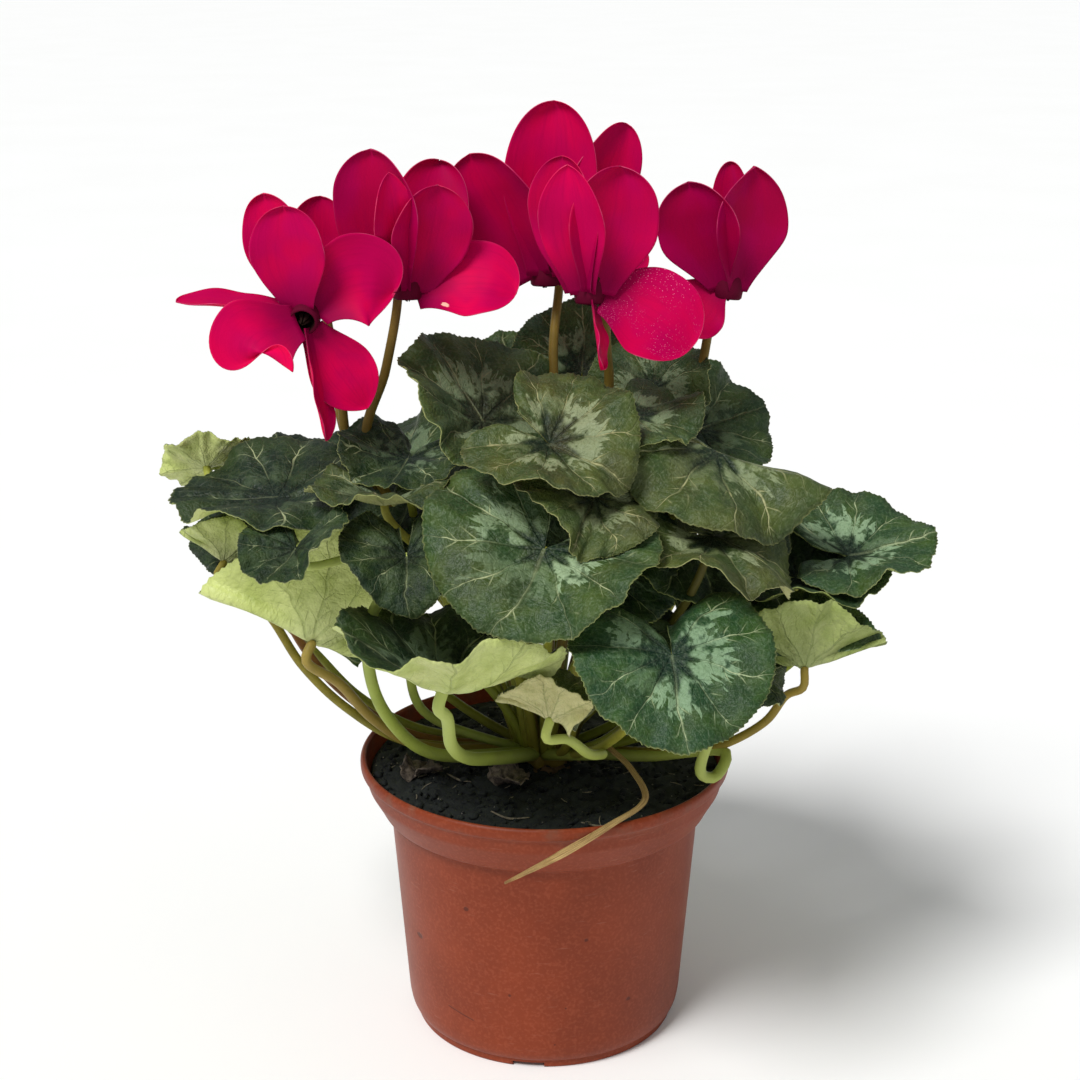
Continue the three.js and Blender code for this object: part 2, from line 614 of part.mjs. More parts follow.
const BLOOMS = [
  {
    name: 'left_rear', mouth: [-79, 6, 256], axis: [0, 0.25, 1], foot: 150,
    petals: [
      petal([-81, 3, 257], [-92, 3, 295], [-0.3, -0.9, 0.1], 23),
      petal([-77, 3, 257], [-73, 4, 294], [0.2, -0.95, 0.1], 23),
      petal([-83, 5, 257], [-121, -2, 261], [0, -0.2, 1], 15),
      petal([-75, 8, 257], [-57, 18, 276], [0.6, -0.6, 0.1], 20),
      petal([-80, 9, 257], [-84, 30, 284], [-0.3, 0.9, 0.1], 24),
    ],
    stalk: [[-78, 14, 276], [-76, 18, 266], [-74, 15, 254], [-70, 5, 232], [-66, -1, 213]],
  },
  {
    name: 'left_front', mouth: [-75, -38, 262], axis: [0.1, 1, 0.3], foot: 200,
    petals: [
      petal([-76, -38, 265], [-80.5, -37, 297], [-0.2, -0.9, 0.3], 25),
      petal([-72, -37, 264], [-47, -30, 269], [0.2, -0.9, 0.4], 31, { bow: [0, 0, 6] }),
      petal([-77, -40, 261], [-89, -48, 252], [-0.2, -0.95, 0.2], 31, { bow: [-5, -2, 0] }),
      petal([-73, -37, 259], [-56, -36, 233], [0.3, -0.9, 0], 22, { end: 0.8 }),
      petal([-74, -40, 258], [-68, -45, 225], [0.95, -0.3, 0], 13),
    ],
    stalk: [[-74, -15, 270], [-72, -9, 262], [-70, -9, 250], [-67, -10, 229], [-64.5, -9, 213]],
  },
  {
    name: 'centre_rear', mouth: [0, 12, 265], axis: [0, 0.1, 1], foot: 75,
    petals: [
      petal([-4, 9, 266], [-25, 6, 307], [-0.4, -0.9, 0], 34),
      petal([0, 8, 267], [3, 10, 324], [0, -1, 0], 32),
      petal([4, 10, 266], [27, 16, 316], [0.4, -0.9, 0], 25),
      petal([4, 14, 266], [35, 24, 272], [0.2, -0.9, 0.5], 20),
      petal([-1, 16, 266], [-12, 40, 292], [-0.2, 1, 0.2], 26),
    ],
    stalk: [[2, 18, 285], [4, 22, 276], [5, 22, 264], [3, 14, 244], [3, 8, 226]],
  },
  {
    name: 'left_centre', mouth: [-44, -16, 266], axis: [0, 0.1, 1], foot: 245,
    petals: [
      petal([-48, -18, 267], [-55, -20, 312], [-0.4, -0.9, 0], 31),
      petal([-47, -22, 268], [-48, -29, 306], [0.4, -0.9, 0], 15, { end: 0.7 }),
      petal([-41, -19, 267], [-33, -22, 301], [0.4, -0.9, 0], 28),
      petal([-42, -12, 267], [-34, 2, 306], [0.1, -1, 0], 26),
      petal([-41, -17, 265], [-9, -20, 267], [0.1, -0.8, 0.6], 28, { bow: [0, 0, 4] }),
    ],
    stalk: [[-46, -10, 285], [-48, -7, 276], [-48, -6, 262], [-52, -11, 240], [-58.5, -16, 214]],
  },
  {
    name: 'centre_front', mouth: [14, -28, 267], axis: [0, 0.1, 1], foot: 300,
    petals: [
      petal([11, -30, 269], [4.5, -28, 311], [-0.6, -0.8, 0], 27),
      petal([11, -33, 269], [6.5, -38, 309.5], [-0.3, -1, 0], 22, { end: 0.7 }),
      petal([16, -31, 269], [23.5, -29, 308], [0.3, -0.95, 0], 31),
      petal([18, -29, 267], [46, -34, 252], [0.1, -0.85, 0.5], 32, { bow: [0, 0, 3] }),
      petal([15, -32, 266], [18, -38, 246], [0.95, -0.3, 0], 12),
    ],
    stalk: [[16, -22, 286], [18, -18, 277], [19, -17, 264], [20, -13, 248], [21, -8, 230]],
  },
  {
    name: 'right', mouth: [60.6, 5, 262], axis: [0.1, 0.1, 1], foot: 5,
    petals: [
      petal([56.6, 2, 264], [46, 0, 299], [-0.35, -0.93, 0], 29, { root: 0.22 }),
      petal([63.6, 2, 263], [68, 1, 304], [0.4, -0.9, 0], 28, { root: 0.22, end: 0.8 }),
      petal([61.6, 9, 264], [61, 14, 304], [0, -1, 0], 14, { root: 0.22 }),
      petal([56.6, 4, 265], [45, 3, 250], [-0.3, -0.9, 0.3], 24),
      petal([62.6, 9, 263], [68.6, 34, 284], [0.4, 0.9, 0.2], 24),
    ],
    stalk: [[59.6, 13, 281], [56.6, 17, 272], [56.4, 16, 258], [54.5, 10, 245], [50.5, 6, 228]],
  },
];

const PETAL_MIN_HALF_WIDTH = 0.1;
const TUBE_RADIUS = 5;
const TUBE_LENGTH = 12;

function petalShare(s, row) {
  if (s < row.peak) {
    return row.root + (1 - row.root) * smoothstep(-0.15, 1, s / row.peak);
  }
  const past = (s - row.peak) / (1 - row.peak);
  return Math.max((1 - past ** 2.2) ** row.end, PETAL_MIN_HALF_WIDTH);
}

// A petal's root is drawn into the flower tube, so that the two grow together
function petalSheet(row, root) {
  const base = row.base.clone().sub(root).clampLength(0, TUBE_RADIUS * 0.75).add(root);
  const middle = row.base.clone().lerp(row.tip, 0.5).addScaledVector(point(row.bow), 2);
  const spine = new THREE.QuadraticBezierCurve3(base, middle, row.tip);
  const sheet = [];
  for (let k = 0; k <= PETAL_STRIPS; k += 1) {
    sheet.push([]);
  }
  for (let i = 0; i <= PETAL_STEPS; i += 1) {
    const s = i / PETAL_STEPS;
    const along = spine.getTangent(s);
    const front = row.face.clone().addScaledVector(along, -row.face.dot(along)).normalize();
    const across = front.clone().cross(along);
    const halfWidth = (row.width / 2) * petalShare(s, row);
    const cup = radians(row.cup);
    for (let k = 0; k <= PETAL_STRIPS; k += 1) {
      const angle = cup * ((2 * k) / PETAL_STRIPS - 1);
      sheet[PETAL_STRIPS - k].push(spine.getPoint(s)
        .addScaledVector(across, (halfWidth / cup) * Math.sin(angle))
        .addScaledVector(front, (halfWidth / cup) * (1 - Math.cos(angle))));
    }
  }
  return sheet;
}

// The short tube that the petals spring from, closed at its stalk end
function flowerTube(row, grow = 0) {
  const geometry = new THREE.SphereGeometry(1, FLOWER_TUBE_SIDES, FLOWER_TUBE_BANDS);
  geometry.scale(TUBE_RADIUS + grow, TUBE_LENGTH / 2 + grow, TUBE_RADIUS + grow);
  geometry.translate(0, TUBE_LENGTH / 2 - 2, 0);
  const turn = new THREE.Quaternion();
  turn.setFromUnitVectors(new THREE.Vector3(0, 1, 0), point(row.axis).normalize());
  geometry.applyQuaternion(turn);
  geometry.translate(...row.mouth);
  return solidFromGeometry(geometry);
}

function bloomSolid(row, grow = 0) {
  const root = point(row.mouth).addScaledVector(point(row.axis).normalize(), 1.5);
  const sheets = row.petals.map((each) => petalSheet(each, root));
  const petals = sheets.map((sheet) => sheetSolid(sheet, PETAL_THICKNESS + 2 * grow, grow));
  return wasm.Manifold.union([flowerTube(row, grow), ...petals]);
}

// Stalks rise from the crown's middle, pass behind the bloom's mouth, hook over and come down
// on the closed end of the flower tube
const STALK_SIDES = 5;
const STALK_STEPS = 14;
const STALK_RING = 5.2;
const STALK_TEST_POINTS = 50;

function stalkCurve(row) {
  const axis = point(row.axis).normalize();
  const end = point(row.mouth).addScaledVector(axis, TUBE_LENGTH - 2 + CLEARANCE);
  const approach = end.clone().addScaledVector(axis, 5);
  const foot = new THREE.Vector3(
    STALK_RING * Math.cos(radians(row.foot)), STALK_RING * Math.sin(radians(row.foot)),
    TUBER_TOP + 1.2);
  const led = row.stalk.map(point).reverse();
  const rising = foot.clone().add(new THREE.Vector3(0, 0, 20)).lerp(led[0], 0.14);
  return new THREE.CatmullRomCurve3([foot, rising, ...led, approach, end]);
}

function stalkSolid(curve, grow = 0) {
  return tube(curve, [STALK_RADIUS * 1.1, STALK_RADIUS * 0.8], STALK_STEPS, STALK_SIDES, grow);
}

// Petioles: each leaf's stem leaves the crown and reaches the underside of its blade. Of a few
// possible bends it takes the one that keeps furthest from the other blades and the stalks.
const PETIOLE_SIDES = 4;
const PETIOLE_STEPS = 4;
const LED_PETIOLE_STEPS = 8;
const PETIOLE_RING = 9.5;
const LOW_LEAF_HEIGHT = 185;
const RIM_PASS_HEIGHT = 103.5;

// A few stems that show plainly are led by hand
const LED_PETIOLES = {
  front_bowl: [[-14, -30, 110], [-25, -46, 117], [-30, -62, 129], [-31, -70, 142]],
  front_small: [[13, -28, 110], [19, -44, 117.5], [14, -58, 124], [7, -67, 133]],
  right_under: [[34, -22, 107], [61, -33, 113], [57, -38, 106.5], [52, -41, 109], [54, -46, 124]],
  right_low_fold: [[42, -25, 110], [58, -31, 114.5], [73, -38, 126.5], [79, -43, 138]],
  left_hanging: [[-45, -8, 111.5], [-64, -12, 125], [-77, -15, 141], [-92, -17, 160.5]],
  left_low_fold: [[-43, -20, 110], [-58, -27, 123], [-68, -35, 139]],
  left_cup: [[-39, -27, 110.5], [-52, -36, 127], [-57, -46, 148], [-54, -58, 173]],
  left_tucked: [[-48, -16, 110], [-67, -22, 124.5], [-81, -27, 142], [-93, -29, 163]],
  left_wide: [[-46, -12, 110.5], [-65, -17, 125], [-79, -21, 143], [-88, -25, 166.5]],
  left_lip: [[-41, -15, 120], [-46, -28, 146], [-48, -42, 171], [-54, -52, 189]],
};
const THICK_PETIOLES = {
  front_bowl: 2.2, right_under: 1.9, front_small: 1.7, left_cup: 2, left_low_fold: 1.8,
};

function petioleChoices(hub, top, row) {
  const droop = PETIOLE_RADIUS * Math.tan(radians(Math.max(0, ...row.fold.map((fold) => -fold))));
  const end = hub.clone().addScaledVector(top, -(BLADE_THICKNESS / 2 + 1.5 * CLEARANCE + droop));
  const bearing = Math.atan2(end.y, end.x);
  const foot = (turn) => new THREE.Vector3(
    PETIOLE_RING * Math.cos(bearing + turn), PETIOLE_RING * Math.sin(bearing + turn),
    TUBER_TOP + CROWN_HEIGHT * 0.4);
  if (LED_PETIOLES[row.name]) {
    const run = LED_PETIOLES[row.name].map(point);
    const rise = end.clone().addScaledVector(top, -6);
    return [new THREE.CatmullRomCurve3([foot(0), ...run, rise, end])];
  }
  const choices = [];
  const low = end.z < LOW_LEAF_HEIGHT;
  for (const turn of [0, 0.45, -0.45, 0.9, -0.9]) {
    for (const outShare of [0.5, 0.35, 0.65]) {
      for (const endShare of [0.22, 0.12, 0.4]) {
        const start = foot(turn);
        const span = start.distanceTo(end);
        const outward = new THREE.Vector3(Math.cos(bearing + turn), Math.sin(bearing + turn), 0);
        const lead = low ? outward.multiplyScalar(0.9).addScaledVector(UP, 0.3)
          : outward.multiplyScalar(0.25).addScaledVector(UP, 0.95);
        const first = start.clone().addScaledVector(lead, span * outShare);
        const second = end.clone().addScaledVector(top, -span * endShare);
        choices.push(new THREE.CubicBezierCurve3(start, first, second, end));
      }
    }
  }
  return choices;
}

// How far a curve keeps from blades, stalks and the pot's rim, up to a distance that is plenty.
// Its foot isn't measured, and near its end its own blade isn't either.
const PLENTY = 5;
const TEST_POINTS = 16;
const FIRST_TEST = 2;
const LAST_OWN_TEST = 12;
const RIM_BAND = 9;

function clearanceOf(curve, ownName, blades, stalkPoints) {
  let least = PLENTY;
  for (let i = FIRST_TEST; i < TEST_POINTS; i += 1) {
    const p = curve.getPoint(i / TEST_POINTS);
    if (Math.hypot(p.x, p.y) > POT_RIM_RADIUS - RIM_BAND && p.z < RIM_PASS_HEIGHT + PLENTY) {
      least = Math.min(least, p.z - RIM_PASS_HEIGHT);
    }
    for (const blade of blades) {
      if (blade.name === ownName && i > LAST_OWN_TEST) {
        continue;
      }
      if (p.distanceTo(blade.centre) > blade.row.size * 1.3 + PLENTY) {
        continue;
      }
      for (const q of blade.samples) {
        least = Math.min(least, p.distanceTo(q) - PETIOLE_RADIUS - BLADE_THICKNESS);
      }
    }
    for (const q of stalkPoints) {
      least = Math.min(least, p.distanceTo(q) - PETIOLE_RADIUS - STALK_RADIUS);
    }
  }
  return least;
}

function bestPetiole(blade, blades, stalkPoints) {
  const top = sheetNormals(blade.sheet)[0][0];
  let best = null;
  let most = -Infinity;
  for (const curve of petioleChoices(blade.sheet[0][0], top, blade.row)) {
    const clearance = clearanceOf(curve, blade.name, blades, stalkPoints);
    if (clearance > most + 0.3) {
      most = clearance;
      best = curve;
    }
  }
  return best;
}

function petioleSolid(blade, grow = 0) {
  const radius = THICK_PETIOLES[blade.name] ?? PETIOLE_RADIUS;
  const steps = LED_PETIOLES[blade.name] ? LED_PETIOLE_STEPS : PETIOLE_STEPS;
  return tube(blade.petiole, [radius * 1.15, radius * 0.9], steps, PETIOLE_SIDES, grow);
}

// Points on a sheet close enough together to measure distances by
function sheetSamples(sheet) {
  const samples = [];
  for (let i = 0; i + 1 < sheet.length; i += 1) {
    for (let j = 0; j + 1 < sheet[0].length; j += 1) {
      samples.push(sheet[i][j + 1]);
      samples.push(sheet[i][j].clone().lerp(sheet[i + 1][j + 1], 0.5));
      samples.push(sheet[i][j + 1].clone().lerp(sheet[i + 1][j + 1], 0.5));
    }
  }
  return samples;
}

// A dried stem that leans over the rim, and two withered scraps that lie on the soil
const DRIED_STEM = [[22, -24, 111], [29, -36, 108.5], [33, -50, 104], [20.7, -62.3, 100.3],
  [4, -67.5, 92], [-13, -70.5, 84]];
const DRIED_STEM_RADII = [1.1, 0.6];
const DRIED_STEM_STEPS = 11;
const DRIED_STEM_SIDES = 5;
const SCRAPS = [
  { name: 'withered_scrap_left', centre: [-44, -14], size: 8, heading: 60 },
  { name: 'withered_scrap_front', centre: [-13, -24], size: 8.5, heading: 15 },
];

function scrapSolid(row) {
  const sheet = bladeSheet(leaf(row.name, [...row.centre, 0], row.heading, 0, 0, row.size,
    { wave: 2.2, waves: 3, phase: 40, cup: 30, fold: [25, 20] }));
  let rest = -Infinity;
  for (const p of sheetSamples(sheet)) {
    rest = Math.max(rest, soilHeight(p.x, p.y) - p.z);
  }
  const lift = rest + BLADE_THICKNESS / 2 + CLEARANCE * 2;
  sheet.forEach((spoke, i) => spoke.forEach((p, j) => {
    if (j > 0 || i === 0) {
      p.z += lift;
    }
    if (j === 0 && i > 0) {
      p.copy(sheet[0][0]);
    }
  }));
  return sheetSolid(sheet, BLADE_THICKNESS);
}

// Put everything together, then cut what still touches: the stems keep their shape, and of two
// blades the upper one does
const cutBy = (solid, cutter) => (solid.intersect(cutter).volume() > 1e-6
  ? largestPiece(solid.subtract(cutter)) : solid);

function boxesMeet(a, b) {
  const first = a.boundingBox();
  const second = b.boundingBox();
  return [0, 1, 2].every((k) => first.min[k] <= second.max[k] && second.min[k] <= first.max[k]);
}

const trim = (solid, cutters) => cutters.reduce(
  (left, cutter) => (boxesMeet(left, cutter) ? cutBy(left, cutter) : left), solid);

const potted = new THREE.Group();

function addMesh(name, solid, [colour, roughness]) {
  const material = new THREE.MeshStandardMaterial({ color: colour, roughness, metalness: 0 });
  const mesh = new THREE.Mesh(geometryFrom(largestPiece(solid.simplify(FINEST))), material);
  mesh.name = name;
  potted.add(mesh);
}

const rows = [...backLeaves(), ...SHOWN_LEAVES];
const blades = rows.map((row) => ({ name: row.name, row, sheet: bladeSheet(row) }));
settle(blades.map((blade) => blade.sheet));
for (const blade of blades) {
  blade.centre = blade.sheet[BLADE_SPOKES / 2][1];
  blade.samples = sheetSamples(blade.sheet);
}

const stalkCurves = BLOOMS.map((row) => stalkCurve(row));
const stalkPoints = stalkCurves.flatMap((curve) => curve.getSpacedPoints(STALK_TEST_POINTS));
const stalks = stalkCurves.map((curve) => stalkSolid(curve));
const grownStalks = stalkCurves.map((curve) => stalkSolid(curve, CLEARANCE));
for (const blade of blades) {
  blade.petiole = bestPetiole(blade, blades, stalkPoints);
}

const petioles = blades.map((blade) => petioleSolid(blade));
const stems = trim(wasm.Manifold.union([crownSolid(), ...petioles]), [
  ...grownStalks, tuberSolid(CLEARANCE),
]);
const grownPetioles = blades.map((blade) => petioleSolid(blade, CLEARANCE));
const grownBlooms = BLOOMS.map((row) => bloomSolid(row, CLEARANCE));

addMesh('pot', potSolid(), COLOURS.pot);
const soil = trim(soilSolid(), [tuberSolid(CLEARANCE), crownBore(), ...grownPetioles]);
addMesh('soil', soil, COLOURS.soil);
addMesh('tuber', tuberSolid(), COLOURS.tuber);
addMesh('petioles', stems, COLOURS.petiole);

blades.forEach((blade, index) => {
  const upper = blades.slice(index + 1).filter((other) => {
    return other.centre.distanceTo(blade.centre) < NEIGHBOUR_REACH;
  });
  const cutters = [
    ...upper.map((other) => sheetSolid(other.sheet, BLADE_THICKNESS + 2 * CLEARANCE, CLEARANCE)),
    ...grownPetioles.filter((stem, k) => k !== index),
    ...grownStalks,
    ...grownBlooms,
  ];
  const solid = trim(sheetSolid(blade.sheet, BLADE_THICKNESS), cutters);
  addMesh(`leaf_${blade.name}`, solid, COLOURS.leaf);
});

BLOOMS.forEach((row, index) => {
  addMesh(`stalk_${row.name}`, stalks[index], COLOURS.stalk);
  const cutters = [...grownStalks, ...grownBlooms.slice(index + 1)];
  addMesh(`bloom_${row.name}`, trim(bloomSolid(row), cutters), COLOURS.petal);
});

const driedCurve = new THREE.CatmullRomCurve3(DRIED_STEM.map(point));
const driedStem = tube(driedCurve, DRIED_STEM_RADII, DRIED_STEM_STEPS, DRIED_STEM_SIDES);
addMesh('dried_stem', trim(driedStem, grownPetioles), COLOURS.dried);
for (const row of SCRAPS) {
  addMesh(row.name, trim(scrapSolid(row), [...grownPetioles, soilSolid(CLEARANCE)]), COLOURS.scrap);
}

export default potted;
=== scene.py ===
"""Potted cyclamen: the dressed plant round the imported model, with its light, floor and camera."""
import math

import bpy
import numpy as np
from mathutils import Matrix, Vector


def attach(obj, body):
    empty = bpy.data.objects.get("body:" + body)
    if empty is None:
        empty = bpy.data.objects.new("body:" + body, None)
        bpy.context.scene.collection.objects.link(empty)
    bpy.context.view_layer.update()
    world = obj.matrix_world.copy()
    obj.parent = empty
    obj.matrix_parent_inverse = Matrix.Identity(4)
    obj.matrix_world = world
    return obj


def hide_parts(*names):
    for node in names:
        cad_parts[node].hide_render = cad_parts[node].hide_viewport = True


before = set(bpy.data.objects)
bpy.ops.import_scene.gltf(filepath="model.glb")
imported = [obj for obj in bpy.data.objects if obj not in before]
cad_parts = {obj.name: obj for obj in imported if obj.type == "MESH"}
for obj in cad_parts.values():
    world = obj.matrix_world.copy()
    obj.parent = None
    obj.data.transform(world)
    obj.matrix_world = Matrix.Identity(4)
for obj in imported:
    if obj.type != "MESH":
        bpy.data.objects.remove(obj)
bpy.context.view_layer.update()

MM = 0.001

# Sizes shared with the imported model, in millimetres
POT_HEIGHT = 100
POT_RIM_RADIUS = 65
POT_BODY_TOP_RADIUS = 54.6
POT_BODY_FOOT_RADIUS = 49.2
POT_WALL = 1.6
SOIL_EDGE_HEIGHT = 93.5
SOIL_MOUND = 4
TUBER_RADIUS = 23
TUBER_HALF_HEIGHT = 14
TUBER_TOP = SOIL_EDGE_HEIGHT + SOIL_MOUND + 1.5
CROWN_RADIUS = 11
CROWN_HEIGHT = 7
BLADE_THICKNESS = 0.8
PETIOLE_RADIUS = 1.5
STALK_RADIUS = 1.8
CLEARANCE = 0.3
TUBE_RADIUS = 5
TUBE_LENGTH = 12

# How a leaf blade is divided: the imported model's coarse sheet, a middling one on which the
# dressed blades settle, and the fine one that shows
LOBE_END = 172
COARSE = (12, 2)
MIDDLE = (24, 8)
FINE = (288, 10)
VEIN_STEP = 34


def smoothstep(low, high, x):
    """From 0 to 1 as x goes from low to high, without a kink."""
    t = np.clip((x - low) / (high - low), 0, 1)
    return t * t * (3 - 2 * t)


def draw_from(seed):
    """A repeatable run of numbers from 0 to 1."""
    state = seed
    while True:
        state = (state * 16807) % 2147483647
        yield state / 2147483647


def unit(v):
    v = np.asarray(v, float)
    return v / np.maximum(np.linalg.norm(v, axis=-1, keepdims=True), 1e-9)


def polar(radius, turn, *height):
    """The point at a distance and an angle from the upright axis."""
    return np.array([radius * math.cos(turn), radius * math.sin(turn), *height])


def circle(sides):
    return np.linspace(0, 2 * np.pi, sides, endpoint=False)


def square_distances(points, others):
    return (points ** 2).sum(1)[:, None] + (others ** 2).sum(1)[None] - 2 * points @ others.T


# Leaf rows: hub, heading, pitch, roll and size as in the imported model; age, which tells how olive
# and worn the blade looks; silver, the strength of its marking; and the strengths of painted shade
# that darken its upper and its lower side where the blade lies in shade
def leaf(name, hub, heading, pitch, roll, size, **extra):
    row = dict(name=name, hub=np.array(hub, float), heading=heading, pitch=pitch, roll=roll, size=size,
               wave=2.2, waves=5, phase=0, dish=0, cup=20, fold=(10, 10), bends=(), age=0.25,
               silver=0.7, dim=0, under_dim=0)
    row.update(extra)
    return row


SHOWN_LEAVES = [
    leaf("right_shade", (46, -46, 172), -60, -25, 0, 28, dim=0.8),
    leaf("right_under", (68, -58, 154), -35, -45, 0, 15, age=0.5, dim=0.7),
    leaf("front_low", (38, -90, 170.5), -80, -47, 0, 31, wave=1, fold=(6, 6), cup=8,
         bends=[(150, 40, -10), (-150, 40, -10)], age=0),
    leaf("front_small", (2, -71, 143), 160, 12, 0, 18, fold=(72, 35), cup=0, age=1),
    leaf("front_bowl", (-32, -74, 153), -151, 12, -13, 42, dish=22, wave=2.5, waves=3, phase=60,
         fold=(-3, -14), cup=38, bends=[(85, 60, 8)], age=0.2, dim=0.8),
    leaf("right_low_fold", (80, -45, 145), -8, 11.5, 16, 28, dish=11, wave=1, fold=(35, 74), cup=0,
         under_dim=0.8),
    leaf("right_mid", (82, -22, 168), -10, 4, 12, 32, dish=8, wave=3, waves=4, age=0.1, silver=0.3,
         dim=0.7),
    leaf("inner_front", (12, -44, 186), -75, -42, 0, 31, age=0.1, silver=0.4, dim=0.8),
    leaf("inner_right", (50, -22, 176), -80, -28, 0, 31, age=0.1, silver=0.4, dim=0.9),
    leaf("inner_left", (-42, -14, 197), -110, -30, 0, 30, age=0.1, silver=0.5, dim=0.9),
    leaf("left_low_fold", (-74, -42, 157.5), 182, 31, 0, 39.5, wave=1.5, fold=(92, 35), cup=-4,
         bends=[(110, 40, 5)]),
    leaf("left_cup", (-43.5, -72, 201), -90, -40, 0, 22, dish=18, wave=2.5, waves=3, phase=180,
         fold=(8, 8), cup=10, bends=[(0, 35, -5)], age=0.3, silver=0.15, dim=0.85),
    leaf("left_hanging", (-106, -15, 176), -140, -60, 0, 21, dim=0.95),
    leaf("left_tucked", (-101, -28, 178), 170, 30, 0, 18, fold=(75, 20), dim=0.9, under_dim=0.2),
    leaf("left_lip", (-78, -68, 195.5), -115, -32, 0, 18, dish=10, wave=2, age=0.2, silver=0.15,
         dim=0.85),
    leaf("left_rear", (-83, 5, 198), 115, 20, 0, 27, cup=0, dim=1),
    leaf("left_wide", (-88, -32, 199), 176, -4, -9, 35, wave=2.5, fold=(3, 10), cup=8,
         bends=[(60, 40, 4)], silver=0.2, dim=1),
    leaf("left_upright", (-117, 10, 192), -90, 55, 0, 17),
    leaf("left_shelf", (-54, -46, 210), -80, 0, 14, 24, dish=26, fold=(0, 0), cup=0, age=0.6, dim=0.5),
    leaf("left_inner", (-42, -25, 210), -100, -15, 0, 24, dim=0.85),
    leaf("right_wave", (53, -56, 198), -34, -9, 9.5, 29, wave=4, fold=(-26, -6), cup=13,
         bends=[(-125, 38, 9), (-60, 25, 5), (10, 25, -12)], age=0.8),
    leaf("centre_big", (0.5, -74, 197.5), -118, -40, 0, 34.5, fold=(6, 6), cup=8, age=0.3,
         silver=0.95),
    leaf("centre_right", (18, -59, 205), -106, -26, 0, 26, dish=11, wave=4.5, waves=4, phase=120,
         fold=(-45, 35), cup=5, age=0.8, silver=0.5),
    leaf("right_top", (54, 15, 212.5), 34, 5, 38, 27, dish=4, fold=(18, 4), cup=6, silver=0.3, dim=0.2),
    leaf("right_saddle", (56, -35, 221), -10, -27, -14, 37, dish=7, wave=4.2, fold=(-21, -36), cup=-3,
         bends=[(40, 30, 6), (-60, 35, -4)], age=0.7, silver=0.5),
    leaf("right_far", (101, -22, 175), 4, 12.5, 36, 29, wave=2.6, fold=(-3, 41), cup=-12, age=0.1,
         silver=0.8, under_dim=0.4),
    leaf("top_left_back", (-9, 25, 226), 110, 40, 0, 23, dim=0.2),
    leaf("top_back", (11, 30, 228), 80, 65, 0, 26),
    leaf("top_right_back", (37, 12, 227), 70, 40, 0, 22, age=0.5, dim=0.2),
    leaf("top_left", (-19, -12, 218), 142, 48, 0, 36, wave=2, age=0.5, dim=0.2),
    leaf("top_right", (27, -26, 229), -61, -15, 12, 24, wave=3.5, fold=(-15, 25), cup=13,
         bends=[(60, 40, 5)], age=0.5),
    leaf("top_centre", (-4, -47, 215), -23, -20, 42, 30, dish=15, wave=4.2, waves=3, phase=200,
         fold=(-18, 22), cup=8, age=0.8),
]

BACK_TIERS = [
    dict(name="back_low", count=5, start=12, end=158, ring=84, height=160, pitch=-34, size=36),
    dict(name="back_high", count=4, start=30, end=152, ring=54, height=200, pitch=-20, size=33),
]


def back_leaves():
    """Rows for the far side, in tiers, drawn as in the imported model."""
    chance = draw_from(2026)

    def vary(amount):
        return (next(chance) * 2 - 1) * amount

    rows = []
    for tier in BACK_TIERS:
        for i in range(tier["count"]):
            azimuth = tier["start"] + (tier["end"] - tier["start"]) * i / (tier["count"] - 1) + vary(5)
            hub = polar(tier["ring"] + vary(6), math.radians(azimuth), tier["height"] + vary(6))
            heading = azimuth + vary(18)
            pitch = tier["pitch"] + vary(8)
            roll = vary(10)
            size = tier["size"] + vary(3)
            rows.append(leaf(f"{tier['name']}_{i + 1}", hub, heading, pitch, roll, size,
                             wave=2, phase=vary(180)))
    return rows


def reach(angle, size):
    """Distance from the stem's end to the margin, by the angle from the midrib."""
    a = np.abs(angle)
    tip = 0.07 * np.exp(-(a / 16) ** 2)
    lobe = 1 - 0.52 * smoothstep(128, LOBE_END, a) ** 1.5
    return size * (0.95 + tip + 0.05 * np.sin(np.radians(a)) ** 2) * lobe


def leaf_axes(row):
    """A leaf's directions: along its midrib, to its left side and out of its upper face."""
    a, p, r = (math.radians(row[k]) for k in ("heading", "pitch", "roll"))
    along = np.array([math.cos(p) * math.cos(a), math.cos(p) * math.sin(a), math.sin(p)])
    flat_side = np.array([-math.sin(a), math.cos(a), 0])
    flat_top = np.cross(along, flat_side)
    side = flat_side * math.cos(r) + flat_top * math.sin(r)
    top = flat_top * math.cos(r) - flat_side * math.sin(r)
    return along, side, top


def blade_points(row, angle, share, relief=0.0, crease=0.0):
    """Points of a blade's middle surface; relief lifts it, crease rounds the fold at the midrib."""
    along, side, top = leaf_axes(row)
    spoke = np.radians(angle)
    rho = reach(angle, row["size"]) * share
    inner = np.minimum(share, 1)
    lift = row["wave"] * inner ** 2 * np.cos(row["waves"] * spoke + math.radians(row["phase"]))
    for centre, width, height in row["bends"]:
        off = (angle - centre + 180) % 360 - 180
        lift = lift + height * inner ** 2 * np.exp(-(off / width) ** 2)
    dish = math.radians(row["dish"])
    x = rho * np.cos(spoke) * math.cos(dish)
    y = rho * np.sin(spoke) * math.cos(dish)
    lift = lift + rho * math.sin(dish) + relief
    bend = math.radians(row["cup"] or 1e-4) / row["size"]
    turn = bend * np.abs(y)
    outward = np.sin(turn) / bend - np.sin(turn) * lift
    upward = (1 - np.cos(turn)) / bend + np.cos(turn) * lift
    fold = np.radians(np.where(y > 0, row["fold"][0], row["fold"][1]))
    if crease:
        fold = fold * smoothstep(0, crease, np.abs(y) / row["size"])
    sideways = np.sign(y) * (outward * np.cos(fold) - upward * np.sin(fold))
    raised = outward * np.sin(fold) + upward * np.cos(fold)
    return (row["hub"] + x[..., None] * along + sideways[..., None] * side + raised[..., None] * top)


